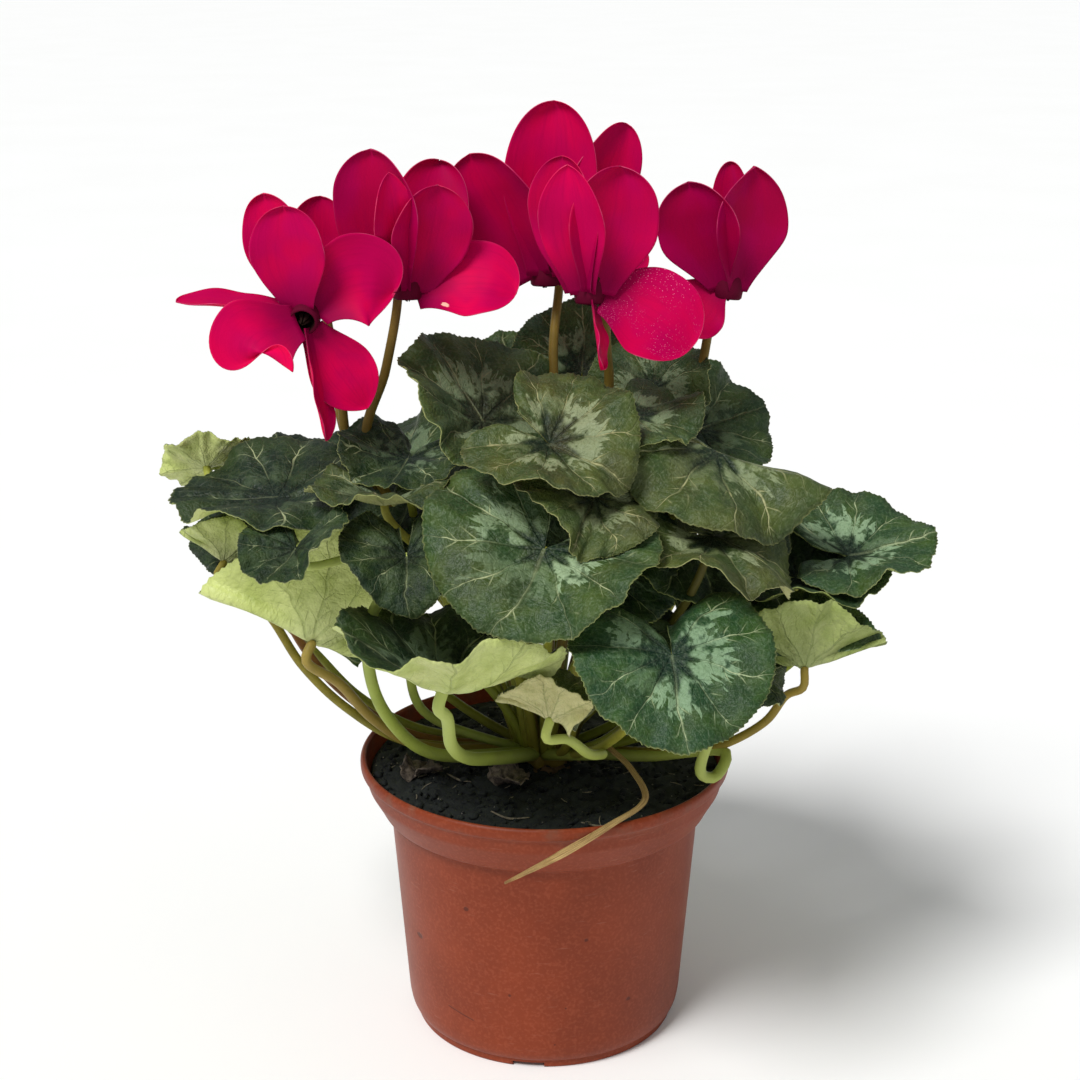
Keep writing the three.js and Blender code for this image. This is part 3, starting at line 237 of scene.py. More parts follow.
def blade_grid(division):
    """Angles from the midrib and shares of the way to the margin, for a grid of points."""
    angles = np.linspace(-LOBE_END, LOBE_END, division[0] + 1)
    shares = np.linspace(0, 1, division[1] + 1)
    return np.meshgrid(angles, shares, indexing="ij")


def sheet_normals(sheet, pointed=True):
    """Upper-side normals of a sheet at each of its points; a pointed sheet starts in one point."""
    a = sheet[:-1, 1:] - sheet[1:, :-1]
    b = sheet[1:, 1:] - sheet[:-1, :-1]
    facing = np.cross(a, b)
    normals = np.zeros_like(sheet)
    normals[:-1, :-1] += facing
    normals[1:, :-1] += facing
    normals[:-1, 1:] += facing
    normals[1:, 1:] += facing
    if pointed:
        normals[:, 0] = normals[:, 0].sum(0)
    return unit(normals)


# Leaves grow clear of each other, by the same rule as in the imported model, and then once more on
# the middling sheets, where only the blades move and not their hubs
MEET_DEPTH = 16
PUSH_LIMIT = 2.5
PUSH_SHARE = 0.25
NEIGHBOUR_REACH = 95
COARSE_SETTLING = dict(rounds=36, gap=2.4, meet_across=7.5, hub_moves=True)
MIDDLE_SETTLING = dict(rounds=14, gap=1.8, meet_across=4.5, hub_moves=False)


def push_apart(low, high, normals, push_low, push_high, gap, meet_across):
    """Adds the pushes between two sheets where the higher one isn't a gap above the lower one."""
    p = high.reshape(-1, 3)
    q = low.reshape(-1, 3)
    nearest = square_distances(p, q).argmin(1)
    apart = p - q[nearest]
    normal = normals.reshape(-1, 3)[nearest]
    height = (apart * normal).sum(1)
    across = np.sqrt(np.maximum((apart ** 2).sum(1) - height ** 2, 0))
    meets = (across <= meet_across) & (np.abs(height) <= MEET_DEPTH) & (height <= gap)
    push = normal[meets] * (PUSH_SHARE * (gap - height[meets]))[:, None]
    np.add.at(push_high.reshape(-1, 3), np.nonzero(meets)[0], push)
    np.add.at(push_low.reshape(-1, 3), nearest[meets], -push)


def move_sheet(sheet, rest, push, hub_moves):
    """A sheet after its pushes, which neighbouring points share."""
    length = np.linalg.norm(push, axis=-1, keepdims=True)
    push = push * np.minimum(1, PUSH_LIMIT / np.maximum(length, 1e-9))
    shift = sheet - rest + push
    hub = (shift[:, 0] + shift[:, 1]).sum(0) * 0.5 / len(shift) if hub_moves else np.zeros(3)
    near = shift.copy()
    near[:, 0] = hub
    total = np.zeros_like(shift)
    count = np.zeros(shift.shape[:2] + (1,))
    for to, since in (((slice(1, None), slice(None)), (slice(None, -1), slice(None))),
                      ((slice(None, -1), slice(None)), (slice(1, None), slice(None))),
                      ((slice(None), slice(1, None)), (slice(None), slice(None, -1))),
                      ((slice(None), slice(None, -1)), (slice(None), slice(1, None)))):
        total[to] += near[since]
        count[to] += 1
    own = 0.5 * shift + 0.5 * total / count
    own[:, 0] = hub
    return rest + own


def settle(rests, rounds, gap, meet_across, hub_moves):
    """Sheets pushed apart in rounds; those later in the list lie higher."""
    sheets = [rest.copy() for rest in rests]
    for _ in range(rounds):
        normals = [sheet_normals(sheet) for sheet in sheets]
        centres = [sheet[len(sheet) // 2, 1] for sheet in sheets]
        pushes = [np.zeros_like(sheet) for sheet in sheets]
        for low in range(len(sheets)):
            for high in range(low + 1, len(sheets)):
                if np.linalg.norm(centres[low] - centres[high]) > NEIGHBOUR_REACH:
                    continue
                push_apart(sheets[low], sheets[high], normals[low], pushes[low], pushes[high],
                           gap, meet_across)
        sheets = [move_sheet(*each, hub_moves) for each in zip(sheets, rests, pushes)]
    return sheets


def finer(values, division, finer_division):
    """Values on a coarse grid, carried smoothly over to a finer one."""
    for axis in (0, 1):
        values = np.moveaxis(values, axis, 0)
        count = division[axis]
        places = np.linspace(0, count, finer_division[axis] + 1)
        first = np.minimum(places.astype(int), count - 1)
        t = (places - first).reshape((-1,) + (1,) * (values.ndim - 1))
        before = 2 * values[0] - values[1]
        after = 2 * values[-1] - values[-2]
        padded = np.concatenate([before[None], values, after[None]])
        p0, p1, p2, p3 = (padded[first + k] for k in range(4))
        values = 0.5 * (2 * p1 + (p2 - p0) * t + (2 * p0 - 5 * p1 + 4 * p2 - p3) * t ** 2
                        + (3 * p1 - p0 - 3 * p2 + p3) * t ** 3)
        values = np.moveaxis(values, 0, axis)
    return values


def linked(name, data):
    """A new object in the scene."""
    thing = bpy.data.objects.new(name, data)
    bpy.context.scene.collection.objects.link(thing)
    return thing


def ring_faces(count, sides):
    """Faces round a pile of rings: its wall, then the fans to the point before and after it."""
    index = np.arange(count * sides).reshape(count, sides)
    nxt = np.roll(index, -1, axis=1)
    wall = np.stack([index[:-1], nxt[:-1], nxt[1:], index[1:]], axis=-1).reshape(-1, 4)
    first = np.stack([np.full(sides, count * sides), nxt[0], index[0]], axis=1)
    last = np.stack([np.full(sides, count * sides + 1), index[-1], nxt[-1]], axis=1)
    return [wall, first, last]


class Mesh:
    """Gathers vertices and faces in millimetres, with corner coordinates and point values."""

    def __init__(self):
        self.points = []
        self.faces = []
        self.corners = {}
        self.values = {}
        self.count = 0

    def add(self, points, faces, corners=None, values=None):
        points = np.asarray(points, float).reshape(-1, 3)
        self.points.append(points)
        self.faces += [np.asarray(each, int) + self.count for each in faces]
        for name, each in (corners or {}).items():
            self.corners.setdefault(name, []).extend(each)
        for name, each in (values or {}).items():
            flat = np.broadcast_to(np.asarray(each, float), (len(points),))
            self.values.setdefault(name, []).append(flat)
        self.count += len(points)

    def piece(self, name, material, replaces=()):
        points = np.concatenate(self.points) * MM
        loops = np.concatenate([each.ravel() for each in self.faces])
        sizes = np.concatenate([np.full(len(each), each.shape[1]) for each in self.faces])
        mesh = bpy.data.meshes.new(name)
        mesh.vertices.add(len(points))
        mesh.vertices.foreach_set("co", points.ravel())
        mesh.loops.add(len(loops))
        mesh.loops.foreach_set("vertex_index", loops)
        mesh.polygons.add(len(sizes))
        mesh.polygons.foreach_set("loop_start", np.concatenate([[0], np.cumsum(sizes)[:-1]]))
        mesh.update(calc_edges=True)
        for layer, each in self.corners.items():
            places = np.concatenate([np.asarray(c, float).reshape(-1, 2) for c in each])
            mesh.uv_layers.new(name=layer).data.foreach_set("uv", places.ravel())
        for layer, each in self.values.items():
            mesh.attributes.new(layer, "FLOAT", "POINT").data.foreach_set("value", np.concatenate(each))
        mesh.shade_smooth()
        mesh.materials.append(material)
        thing = linked(name, mesh)
        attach(thing, "root")
        if replaces:
            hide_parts(*replaces)
        return thing


def add_sheet(mesh, sheet, half, corners, values=None, pointed=False):
    """A sheet with both its faces and its edge. Corners are grids of coordinates by name."""
    rows, columns = sheet.shape[:2]
    normals = sheet_normals(sheet, pointed)
    upper = sheet + normals * half[..., None]
    lower = sheet - normals * half[..., None]
    count = rows * columns
    index = np.arange(count).reshape(rows, columns)
    if pointed:
        index[:, 0] = 0
    i, j = (k.ravel() for k in np.meshgrid(np.arange(rows - 1), np.arange(columns - 1), indexing="ij"))
    quads = [(i, j), (i, j + 1), (i + 1, j + 1), (i + 1, j)]
    edge = [(0, k) for k in range(columns - 1)] + [(k, columns - 1) for k in range(rows - 1)]
    edge += [(rows - 1, k) for k in range(columns - 1, 0, -1)]
    if not pointed:
        edge += [(k, 0) for k in range(rows - 1, 0, -1)]
    start = np.array(edge).T
    end = np.roll(start, -1, axis=1)
    if pointed:
        inner = j == 0
        parts = [[(a[~inner], b[~inner]) for a, b in quads],
                 [(a[inner], b[inner]) for a, b in quads[:3]]]
    else:
        parts = [quads]
    faces = []
    places = {name: [] for name in corners}
    for part in parts:
        for shift, order in ((0, part), (count, part[::-1])):
            faces.append(np.stack([index[a, b] + shift for a, b in order], axis=1))
            for name, grid in corners.items():
                places[name].append(np.stack([grid[a, b] for a, b in order], axis=1))
    band = [(start, 0), (start, count), (end, count), (end, 0)]
    faces.append(np.stack([index[k[0], k[1]] + shift for k, shift in band], axis=1))
    for name, grid in corners.items():
        places[name].append(np.stack([grid[k[0], k[1]] for k, _ in band], axis=1))
    side = np.concatenate([np.zeros(count), np.ones(count)])
    every = {name: np.tile(np.broadcast_to(each, (rows, columns)).ravel(), 2)
             for name, each in (values or {}).items()}
    every["under"] = side
    mesh.add(np.concatenate([upper.reshape(-1, 3), lower.reshape(-1, 3)]), faces, places, every)


def even_points(points, count):
    """The same line with its points evenly spaced."""
    lengths = np.concatenate([[0], np.cumsum(np.linalg.norm(np.diff(points, axis=0), axis=1))])
    places = np.linspace(0, lengths[-1], count)
    return np.stack([np.interp(places, lengths, points[:, k]) for k in range(3)], axis=1)


def catmull_rom(points, count):
    """A smooth line through its points, by centripetal steps."""
    p = np.array(points, float)
    p = np.concatenate([[2 * p[0] - p[1]], p, [2 * p[-1] - p[-2]]])
    t = np.linspace(0, 1, 24, endpoint=False)[:, None]
    line = []
    for k in range(1, len(p) - 2):
        x0, x1, x2, x3 = p[k - 1:k + 3]
        d0, d1, d2 = (np.linalg.norm(b - a) ** 0.5 for a, b in ((x0, x1), (x1, x2), (x2, x3)))
        t1 = ((x1 - x0) / d0 - (x2 - x0) / (d0 + d1) + (x2 - x1) / d1) * d1
        t2 = ((x2 - x1) / d1 - (x3 - x1) / (d1 + d2) + (x3 - x2) / d2) * d1
        line.append(x1 + t1 * t + (3 * (x2 - x1) - 2 * t1 - t2) * t ** 2
                    + (2 * (x1 - x2) + t1 + t2) * t ** 3)
    line.append(p[-2][None])
    return even_points(np.concatenate(line), count)


def bezier(start, first, second, end, count):
    """A smooth bend from start to end, drawn towards two points on its way."""
    t = np.linspace(0, 1, 60)[:, None]
    line = ((1 - t) ** 3 * start + 3 * (1 - t) ** 2 * t * first + 3 * (1 - t) * t ** 2 * second
            + t ** 3 * end)
    return even_points(line, count)


def line_frames(line):
    """Two directions across a line at each point, turned no more than the line itself turns."""
    along = unit(np.gradient(line, axis=0))
    start = np.array([1.0, 0, 0]) if abs(along[0][0]) < 0.8 else np.array([0, 1.0, 0])
    across = [unit(start - along[0] * (start @ along[0]))]
    for direction in along[1:]:
        last = across[-1]
        across.append(unit(last - direction * (last @ direction)))
    across = np.array(across)
    return along, across, np.cross(along, across)


def add_tube(mesh, line, radii, sides, values=None, flatness=1.0, ridges=0.0, ridge_count=0):
    """A stem with closed ends; flatness squeezes it across, ridges groove it lengthwise."""
    along, across, up = line_frames(line)
    count = len(line)
    radii = np.broadcast_to(radii, (count,))
    turn = circle(sides)
    groove = 1 + ridges * np.cos(ridge_count * turn)
    ring_a = np.cos(turn) * groove
    ring_b = np.sin(turn) * groove * flatness
    points = (line[:, None] + across[:, None] * (radii[:, None] * ring_a)[..., None]
              + up[:, None] * (radii[:, None] * ring_b)[..., None])
    ends = np.stack([line[0] - along[0] * radii[0] * 0.4, line[-1] + along[-1] * radii[-1] * 0.4])
    run = np.concatenate([np.repeat(np.linspace(0, 1, count), sides), [0, 1]])
    points = np.concatenate([points.reshape(-1, 3), ends])
    mesh.add(points, ring_faces(count, sides), None, {"run": run, **(values or {})})


def add_turned(mesh, profile, sides, relief=None, values=None):
    """A shape turned round the upright axis; a profile point on the axis closes it."""
    profile = np.array(profile, float)
    turn = circle(sides)
    radius = profile[:, :1] * np.ones(sides)
    height = profile[:, 1:] * np.ones(sides)
    if relief is not None:
        radius, height = relief(radius, height, turn)
    points = np.stack([radius * np.cos(turn), radius * np.sin(turn), height], axis=-1)
    count = len(profile)
    index = np.arange(count * sides).reshape(count, sides)
    closed = profile[:, 0] < 1e-6
    index[closed] = index[closed][:, :1]
    nxt = np.roll(index, -1, axis=1)
    faces = []
    for k in range(count - 1):
        corners = [index[k], nxt[k], nxt[k + 1], index[k + 1]]
        if closed[k]:
            corners = [index[k], nxt[k + 1], index[k + 1]]
        elif closed[k + 1]:
            corners = [index[k], nxt[k], index[k + 1]]
        faces.append(np.stack(corners, axis=1))
    if not closed[0]:
        faces.append(np.stack([index[-1], nxt[-1], nxt[0], index[0]], axis=1))
    mesh.add(points.reshape(-1, 3), faces, None, values)


# Materials

def colour(text):
    """A colour given as six hex digits, in linear light."""
    parts = [int(text[k:k + 2], 16) / 255 for k in (0, 2, 4)]
    return (*[c / 12.92 if c < 0.04045 else ((c + 0.055) / 1.055) ** 2.4 for c in parts], 1.0)


class Wire:
    """A value that runs from a node's output; arithmetic with it makes the next node."""

    def __init__(self, graph, socket):
        self.graph = graph
        self.socket = socket

    def __add__(self, other):
        return self.graph.math("ADD", self, other)

    def __sub__(self, other):
        return self.graph.math("SUBTRACT", self, other)

    def __mul__(self, other):
        return self.graph.math("MULTIPLY", self, other)

    def fade(self, low, high, start=0, end=1):
        """Smoothly from start to end as the value goes from low to high."""
        inputs = dict(enumerate((self, low, high, start, end)))
        return self.graph.node("MapRange", inputs, 0, interpolation_type="SMOOTHSTEP")


class Graph:
    """A material's nodes. Colours are given as six hex digits or as wires."""

    def __init__(self, name, roughness, **sockets):
        self.material = bpy.data.materials.new(name)
        self.material.use_nodes = True
        self.tree = self.material.node_tree
        self.shader = self.tree.nodes["Principled BSDF"]
        self.shader.inputs["Roughness"].default_value = roughness
        for key, value in sockets.items():
            self.shader.inputs[key.replace("_", " ")].default_value = value

    def put(self, socket, value):
        if isinstance(value, Wire):
            self.tree.links.new(value.socket, socket)
        else:
            socket.default_value = colour(value) if isinstance(value, str) else value

    def node(self, kind, inputs, output, **settings):
        """Makes a node, fills its inputs and gives the wire from one of its outputs."""
        node = self.tree.nodes.new("ShaderNode" + kind)
        for name, setting in settings.items():
            setattr(node, name, setting)
        for key, value in inputs.items():
            self.put(node.inputs[key], value)
        return Wire(self, node.outputs[output])

    def math(self, operation, *values):
        return self.node("Math", dict(enumerate(values)), 0, operation=operation)

    def size(self, value):
        return self.math("ABSOLUTE", value)

    def most(self, a, b):
        return self.math("MAXIMUM", a, b)

    def gap(self, x, y, place):
        """Distance of the point x, y from a place."""
        x = x - place[0]
        y = y - place[1]
        return self.math("SQRT", x * x + y * y)

    def mix(self, share, a, b):
        return self.node("Mix", {0: share, 6: a, 7: b}, 2, data_type="RGBA")

    def paint(self, base, *coats):
        """A base colour under coats, each given by its share and its colour."""
        for share, coat in coats:
            base = self.mix(share, base, coat)
        return base

    def split(self, wire):
        node = self.tree.nodes.new("ShaderNodeSeparateXYZ")
        self.put(node.inputs[0], wire)
        return [Wire(self, socket) for socket in node.outputs]

    def join(self, *parts):
        return self.node("CombineXYZ", dict(enumerate(parts)), 0)

    def uv(self, name):
        return self.node("UVMap", {}, 0, uv_map=name)

    def value(self, name):
        return self.node("Attribute", {}, "Fac", attribute_name=name)

    def place(self):
        return self.node("TexCoord", {}, "Object")

    def noise(self, vector, scale, detail=2, roughness=0.5, distortion=0):
        inputs = {"Vector": vector, "Scale": scale, "Detail": detail, "Roughness": roughness,
                  "Distortion": distortion}
        return self.node("TexNoise", inputs, "Fac")

    def cells(self, vector, scale, feature="F1"):
        return self.node("TexVoronoi", {"Vector": vector, "Scale": scale}, "Distance", feature=feature)

    def finish(self, base, roughness=None, height=None, strength=0.5, distance=0.0005):
        """Joins colour, roughness and relief to the shader; distance is in metres."""
        self.put(self.shader.inputs["Base Color"], base)
        if roughness is not None:
            self.put(self.shader.inputs["Roughness"], roughness)
        if height is not None:
            inputs = {"Strength": strength, "Distance": distance, "Height": height}
            self.put(self.shader.inputs["Normal"], self.node("Bump", inputs, 0))
        return self.material


def leaf_material():
    """Dark green with silver patches between the veins, pale vein ends and a pale toothed edge."""
    g = Graph("leaf_blade", 0.5, Specular_IOR_Level=0.24)
    turns, share, _ = g.split(g.uv("polar"))
    flat_x, flat_y, _ = g.split(g.uv("flat"))
    seed = g.value("seed")
    age = g.value("age")
    side = g.value("under")
    place = g.join(flat_x, flat_y, seed * 9)
    warp = g.noise(place, 4) - 0.5
    fine_warp = g.noise(place, 16) - 0.5
    cloud = g.noise(place, 7, 3, 0.6)
    grain = g.noise(place, 70, 2, 0.7)
    islands = g.noise(place, 17, 3, 0.65)
    degrees = turns * 360 - 180 + warp * 26

    # Veins: gap is the angle to the nearest primary vein, off the way to it
    gap = g.math("PINGPONG", degrees, VEIN_STEP / 2)
    off = gap * share * (math.pi / 180) + fine_warp * 0.012
    primary = off.fade(0.003, share.fade(0.1, 1, 0.018, 0.009), 1, 0)
    midrib = (g.size(degrees) * share).fade(0.5, 1.5, 1, 0) * share.fade(0.7, 0.95, 1, 0.2)
    rib = g.math("PINGPONG", share - off * 1.2 + warp * 0.16, 0.085)
    secondary = (rib + fine_warp * 0.03).fade(0.002, 0.012, 1, 0) * off.fade(0.02, 0.16, 1, 0)
    net = g.cells(g.join(flat_x + warp * 0.1, flat_y, seed), 24, "DISTANCE_TO_EDGE")
    net = net.fade(0, 0.09, 1, 0)
    vein_end = g.most(primary, secondary * 0.8) * share.fade(0.44, 0.6)
    vein_end = vein_end * cloud.fade(0.44, 0.56) * share.fade(0.84, 0.95, 1, 0.1)

    # The silver band, ragged on both sides and broken up from one vein to the next
    streak = g.noise(g.join(degrees * 0.13, share * 1.6, seed * 7), 1, 3, 0.6)
    sector = g.math("FLOOR", degrees * (1 / VEIN_STEP))
    sector = g.noise(g.join(sector * 3.7, seed * 31, 0), 1, 0)
    inner = gap.fade(1, 14, 0.33, 0.22) + warp * 0.5
    outer = streak * 0.95 + 0.1 + warp * 0.25
    band = (share - inner).fade(-0.03, 0.07) * (share - outer).fade(-0.015, 0.02, 1, 0)
    band = band * cloud.fade(0.4, 0.47) * islands.fade(0.39, 0.45, 0.15, 1)
    band = band * sector.fade(0.36, 0.48, 0.25, 1) * grain.fade(0.2, 0.5, 0.6, 1)
    band = band * g.value("silver")
    heart = (share - inner).fade(-0.12, 0.12, 1, 0)
    worn = g.noise(place, 3.2, 3, 0.6).fade(0.46, 0.66)

    margin = g.mix(cloud.fade(0.35, 0.7), g.mix(age, "1f3f22", "3b4a22"), g.mix(age, "34501f", "565e2a"))
    silver = g.mix(age, "96b48e", "a3a981")
    vein = g.mix(age, "b3c194", "b0a976")
    top = g.paint(
        g.mix(heart, margin, g.mix(age * 0.7, "11291b", "1b2615")),
        (worn * (age * 0.25 + 0.12), "42361c"),
        (grain.fade(0.45, 0.75) * 0.15, silver),
        (band * 0.85, silver),
        # painted shade: darkens the upper side of the blades that lie in shade
        (g.value("dim") * cloud.fade(0.25, 0.6, 0.9, 0.55), "0a1a12"),
        (net * 0.04, vein),
        (primary * share.fade(0.25, 0.5) * 0.22, vein),
        (midrib * cloud.fade(0.35, 0.6, 0.1, 0.4), g.mix(0.6, margin, vein)),
        (vein_end * 0.8, vein),
        (share.fade(0.982, 0.999) * islands.fade(0.35, 0.6, 0.1, 0.6), "7f8250"),
    )
    under = g.paint(
        g.mix(cloud.fade(0.3, 0.7), "c9d684", "a4b65a"),
        (share.fade(0.05, 0.6, 1, 0) * 0.5, "d3dba4"),
        (age * 0.75, "c4b88a"),
        (worn * 0.35, "d0cf9c"),
        (islands.fade(0.5, 0.7) * 0.25, "7f9048"),
        (g.most(primary, secondary * 0.7) * 0.35, "86954e"),
        (net * 0.07, "647338"),
        # painted shade: darkens the lower side of the blades that lie in shade
        (g.value("under_dim") * 0.6, "566a2e"),
    )
    height = (primary * -0.2 + secondary * -0.12 + net * side.fade(0, 1, -0.05, -0.03)
              + cloud * 0.9 + grain * 0.25 + islands * 0.7)
    return g.finish(g.mix(side, top, under), cloud * 0.24 + 0.34, height, 0.9, 0.0016)


# Where the scar lies on the one petal that has it: across and along, as shares
SCAR_PLACE = (0.13, 0.27)


def petal_material():
    """Crimson velvet, darker at the base and outside, with a thin pale edge and painted shade on petals
    in shade.
    """
    g = Graph("petal_velvet", 0.55, Specular_IOR_Level=0.04)
    across, along, _ = g.split(g.uv("petal"))
    seed = g.value("seed")
    place = g.join(across, along, seed * 11)
    cloud = g.noise(place, 2.2)
    patches = cloud.fade(0.35, 0.65)
    veins = g.noise(g.join(across * 26, along * 2, seed), 1)
    edge = g.most(g.size(across - 0.5).fade(0.4945, 0.4999), along.fade(0.994, 0.9999))
    edge = edge * g.noise(place, 5).fade(0.42, 0.6, 0.12, 0.55)
    dots = g.cells(g.join(across * 1.4, along, seed), 44).fade(0.1, 0.22, 1, 0)
    scar = (g.gap(across, along, SCAR_PLACE) + g.noise(place, 14) * 0.09).fade(0.08, 0.095, 1, 0)
    base = g.paint(
        # painted shade: the darker crimson for petals that lie in shade
        g.mix(g.value("dark"), g.mix(patches, "ee004a", "d00050"), g.mix(patches, "9a002e", "a00048")),
        (along.fade(0.02, 0.5, 0.85, 0), "5e0030"),
        (g.value("under") * 0.4, "a00048"),
        (veins.fade(0.5, 0.7) * 0.2, "9a0042"),
        (edge * along.fade(0.4, 0.65, 0.15, 1), "e0608c"),
        (dots * (g.value("dust") * cloud.fade(0.45, 0.6)), "f57aa6"),
        (scar * g.value("scar"), "f0b4a0"),
    )
    return g.finish(base, None, veins * 0.5 + cloud * 0.6, 0.35, 0.0004)


def stem_material(name, low, high, top):
    """A fleshy stem that changes colour from its foot to its end; tint makes it brown."""
    g = Graph(name, 0.5, Specular_IOR_Level=0.2)
    place = g.place()
    run = g.value("run")
    base = g.paint(
        g.mix(run.fade(0.05, 0.45), low, high),
        (run.fade(0.72, 1), top),
        (g.value("tint"), g.mix(run.fade(0.2, 0.9), "6f4a20", "94612c")),
        (g.noise(place, 160, 3).fade(0.4, 0.75) * 0.25, "3c3a14"),
        (g.noise(place, 1400).fade(0.5, 0.7) * 0.2, "5c4520"),
        (g.value("pale") * run.fade(0.35, 0.95, 0.3, 1), "bac773"),
        # painted shade: darkens stems that pass through the plant's shaded middle
        (g.value("stem_painted_shade"), "1d2010"),
    )
    return g.finish(base, None, g.noise(place, 700), 0.25, 0.0003)


# Pits in the pot's front, each by its place across, its height and its radius in millimetres,
# and a long scratch from one place to another
PITS = [(-26.6, 61.3, 0.9), (-43.6, 41.1, 1.1), (-12, 30, 0.6), (14, 52, 0.7), (29, 24, 0.8)]
SCRATCH = ((-34, 19), (-24, 16.5))


def pot_material():
    """Moulded terracotta-coloured plastic: mottled, dusty, pitted and a little scuffed."""
    g = Graph("pot_plastic", 0.42, Specular_IOR_Level=0.2)
    place = g.place()
    x, y, z = g.split(place)
    mottle = g.noise(place, 28, 4, 0.6)
    grain = g.noise(place, 900)
    specks = g.cells(place, 90).fade(0.035, 0.06, 1, 0) * g.noise(place, 60, 1).fade(0.56, 0.6)
    marks = 0.0
    for across, height, radius in PITS:
        gap = g.gap(x, z, (across * MM, height * MM)) + g.noise(place, 1500, 1) * 0.0006
        marks = g.most(marks, gap.fade(radius * MM, (radius + 0.5) * MM, 1, 0))
    (x0, z0), (x1, z1) = SCRATCH
    slope = (z1 - z0) / (x1 - x0)
    scratch = g.size(z - (x * slope + (z0 - slope * x0) * MM)).fade(0.0001, 0.0004, 1, 0)
    scratch = scratch * x.fade(x0 * MM, (x0 + 1) * MM) * x.fade((x1 - 1) * MM, x1 * MM, 1, 0)
    marks = g.most(marks, scratch) * y.fade(-0.02, 0, 1, 0)
    scuff = g.noise(g.join(x * 4, y * 4, z * 40), 30, 3).fade(0.66, 0.74)
    base = g.paint(
        g.mix(mottle.fade(0.25, 0.8), "86371a", "742f18"),
        (grain.fade(0.45, 0.7) * 0.25, "a4553a"),
        (specks * 0.8, "3a1a12"),
        (marks * 0.75, "4a2016"),
        (z.fade(0.09, 0.1) * g.noise(place, 120, 3).fade(0.5, 0.7) * 0.5, "74503f"),
        (scuff * 0.2, "a67868"),
    )
    return g.finish(base, mottle * 0.3 + 0.3, grain + mottle * 2 + marks * -6, 0.12, 0.0003)


def soil_material():
    """Dark, damp and crumbly, with pale flecks."""
    g = Graph("damp_soil", 0.9)
    place = g.place()
    clod = g.noise(place, 90, 5, 0.7)
    flecks = g.cells(place, 420).fade(0.1, 0.16, 1, 0) * g.noise(place, 300, 1).fade(0.55, 0.61)
    base = g.paint(g.mix(clod.fade(0.35, 0.75), "0b1011", "262b29"), (flecks * 0.7, "8d867a"))
    return g.finish(base, clod.fade(0.3, 0.7, 0.75, 0.98), clod, 0.8, 0.0015)


def bark_material(name, low, high, scale):
    """Dry plant matter: wrinkled, with darker creases."""
    g = Graph(name, 0.8)
    grain = g.noise(g.place(), scale, 4, 0.65, 0.6)
    return g.finish(g.mix(grain.fade(0.3, 0.7), low, high), None, grain, 0.7, 0.0008)


def straw_material():
    """A dried stalk: pale fibres along it, with darker splits."""
    g = Graph("straw", 0.75)
    run = g.value("run")
    fibres = g.noise(g.join(run * 7, g.value("around") * 9, 0), 1, 4, 0.65)
    base = g.paint(
        g.mix(fibres.fade(0.3, 0.65), "6e4a20", "d3b274"),
        (g.noise(g.place(), 160).fade(0.5, 0.7) * 0.4, "8a6430"),
        (run.fade(0.94, 1, 0, 0.6), "7a4a26"),
    )
    return g.finish(base, None, fibres, 0.8, 0.0006)


def throat_material():
    """The flower's tube: dark red towards the petals, brown-green at the sepals, with painted shade
    inside.
    """
    g = Graph("flower_tube", 0.7, Specular_IOR_Level=0.06)
    run = g.value("run")
    # inside: near-black painted shade in the tube's hollow and on the anthers within it
    base = g.paint(g.mix(run.fade(0.7, 0.98), "5a0626", "4a1c1a"), (g.value("inside"), "12140c"))
    return g.finish(base, None, g.noise(g.place(), 400), 0.3, 0.0003)


# Leaves

QUILT = 0.034
CREASE = 0.12
TOOTH_REACHES = (1.0, 0.05, 0.45)
BLADE_HALF = 0.3
BLADE_EDGE_LOSS = 0.16
BLADE_HUB_GAIN = 0.25


def blade_relief(row, angle, share, seed):
    """Quilting between the primary veins, and soft unevenness, in millimetres."""
    size = row["size"]
    turn = np.abs((angle + VEIN_STEP / 2) % VEIN_STEP - VEIN_STEP / 2)
    off = np.radians(turn) * reach(angle, size) * share
    quilt = QUILT * size * (1 - np.exp(-(off / (0.07 * size)) ** 2))
    quilt = quilt * smoothstep(0.05, 0.35, share) * (1 - 0.8 * smoothstep(0.6, 1.0, share))
    spoke = np.radians(angle)
    x = share * np.cos(spoke)
    y = share * np.sin(spoke)
    uneven = np.zeros_like(x)
    chance = draw_from(int(seed * 1e6) + 17)
    for k in range(7):
        wave = 4 + 2.2 * k
        turn = next(chance) * 2 * math.pi
        phase = next(chance) * 2 * math.pi
        run = x * math.cos(turn) + y * math.sin(turn)
        uneven += 0.3 / (1 + 0.45 * k) * np.sin(wave * run + phase)
    ruffle = 0.5 * np.sin(spoke * 23 + seed * 40) * smoothstep(0.6, 1.0, share)
    wavy = np.sin(spoke * 8.5 + seed * 25) + 0.6 * np.sin(spoke * 13.2 + seed * 61)
    wavy = 0.036 * size * wavy * smoothstep(0.45, 1.0, share) ** 1.5
    droop = -0.07 * size * row["age"] * smoothstep(0.72, 1.0, share) ** 1.5
    uneven = uneven * smoothstep(0, 0.3, share)
    return quilt - 0.5 * QUILT * size + uneven + ruffle + wavy + droop


def toothed(share, seed):
    """Share of the way to the margin, with fine teeth round it."""
    spokes = np.arange(FINE[0] + 1)
    tooth = np.array(TOOTH_REACHES)[spokes % len(TOOTH_REACHES)]
    lean = 0.75 + 0.25 * np.sin(spokes * 0.61 + seed * 50)
    return share * (1 + 0.02 * (tooth * lean)[:, None] * smoothstep(0.9, 1.0, share))


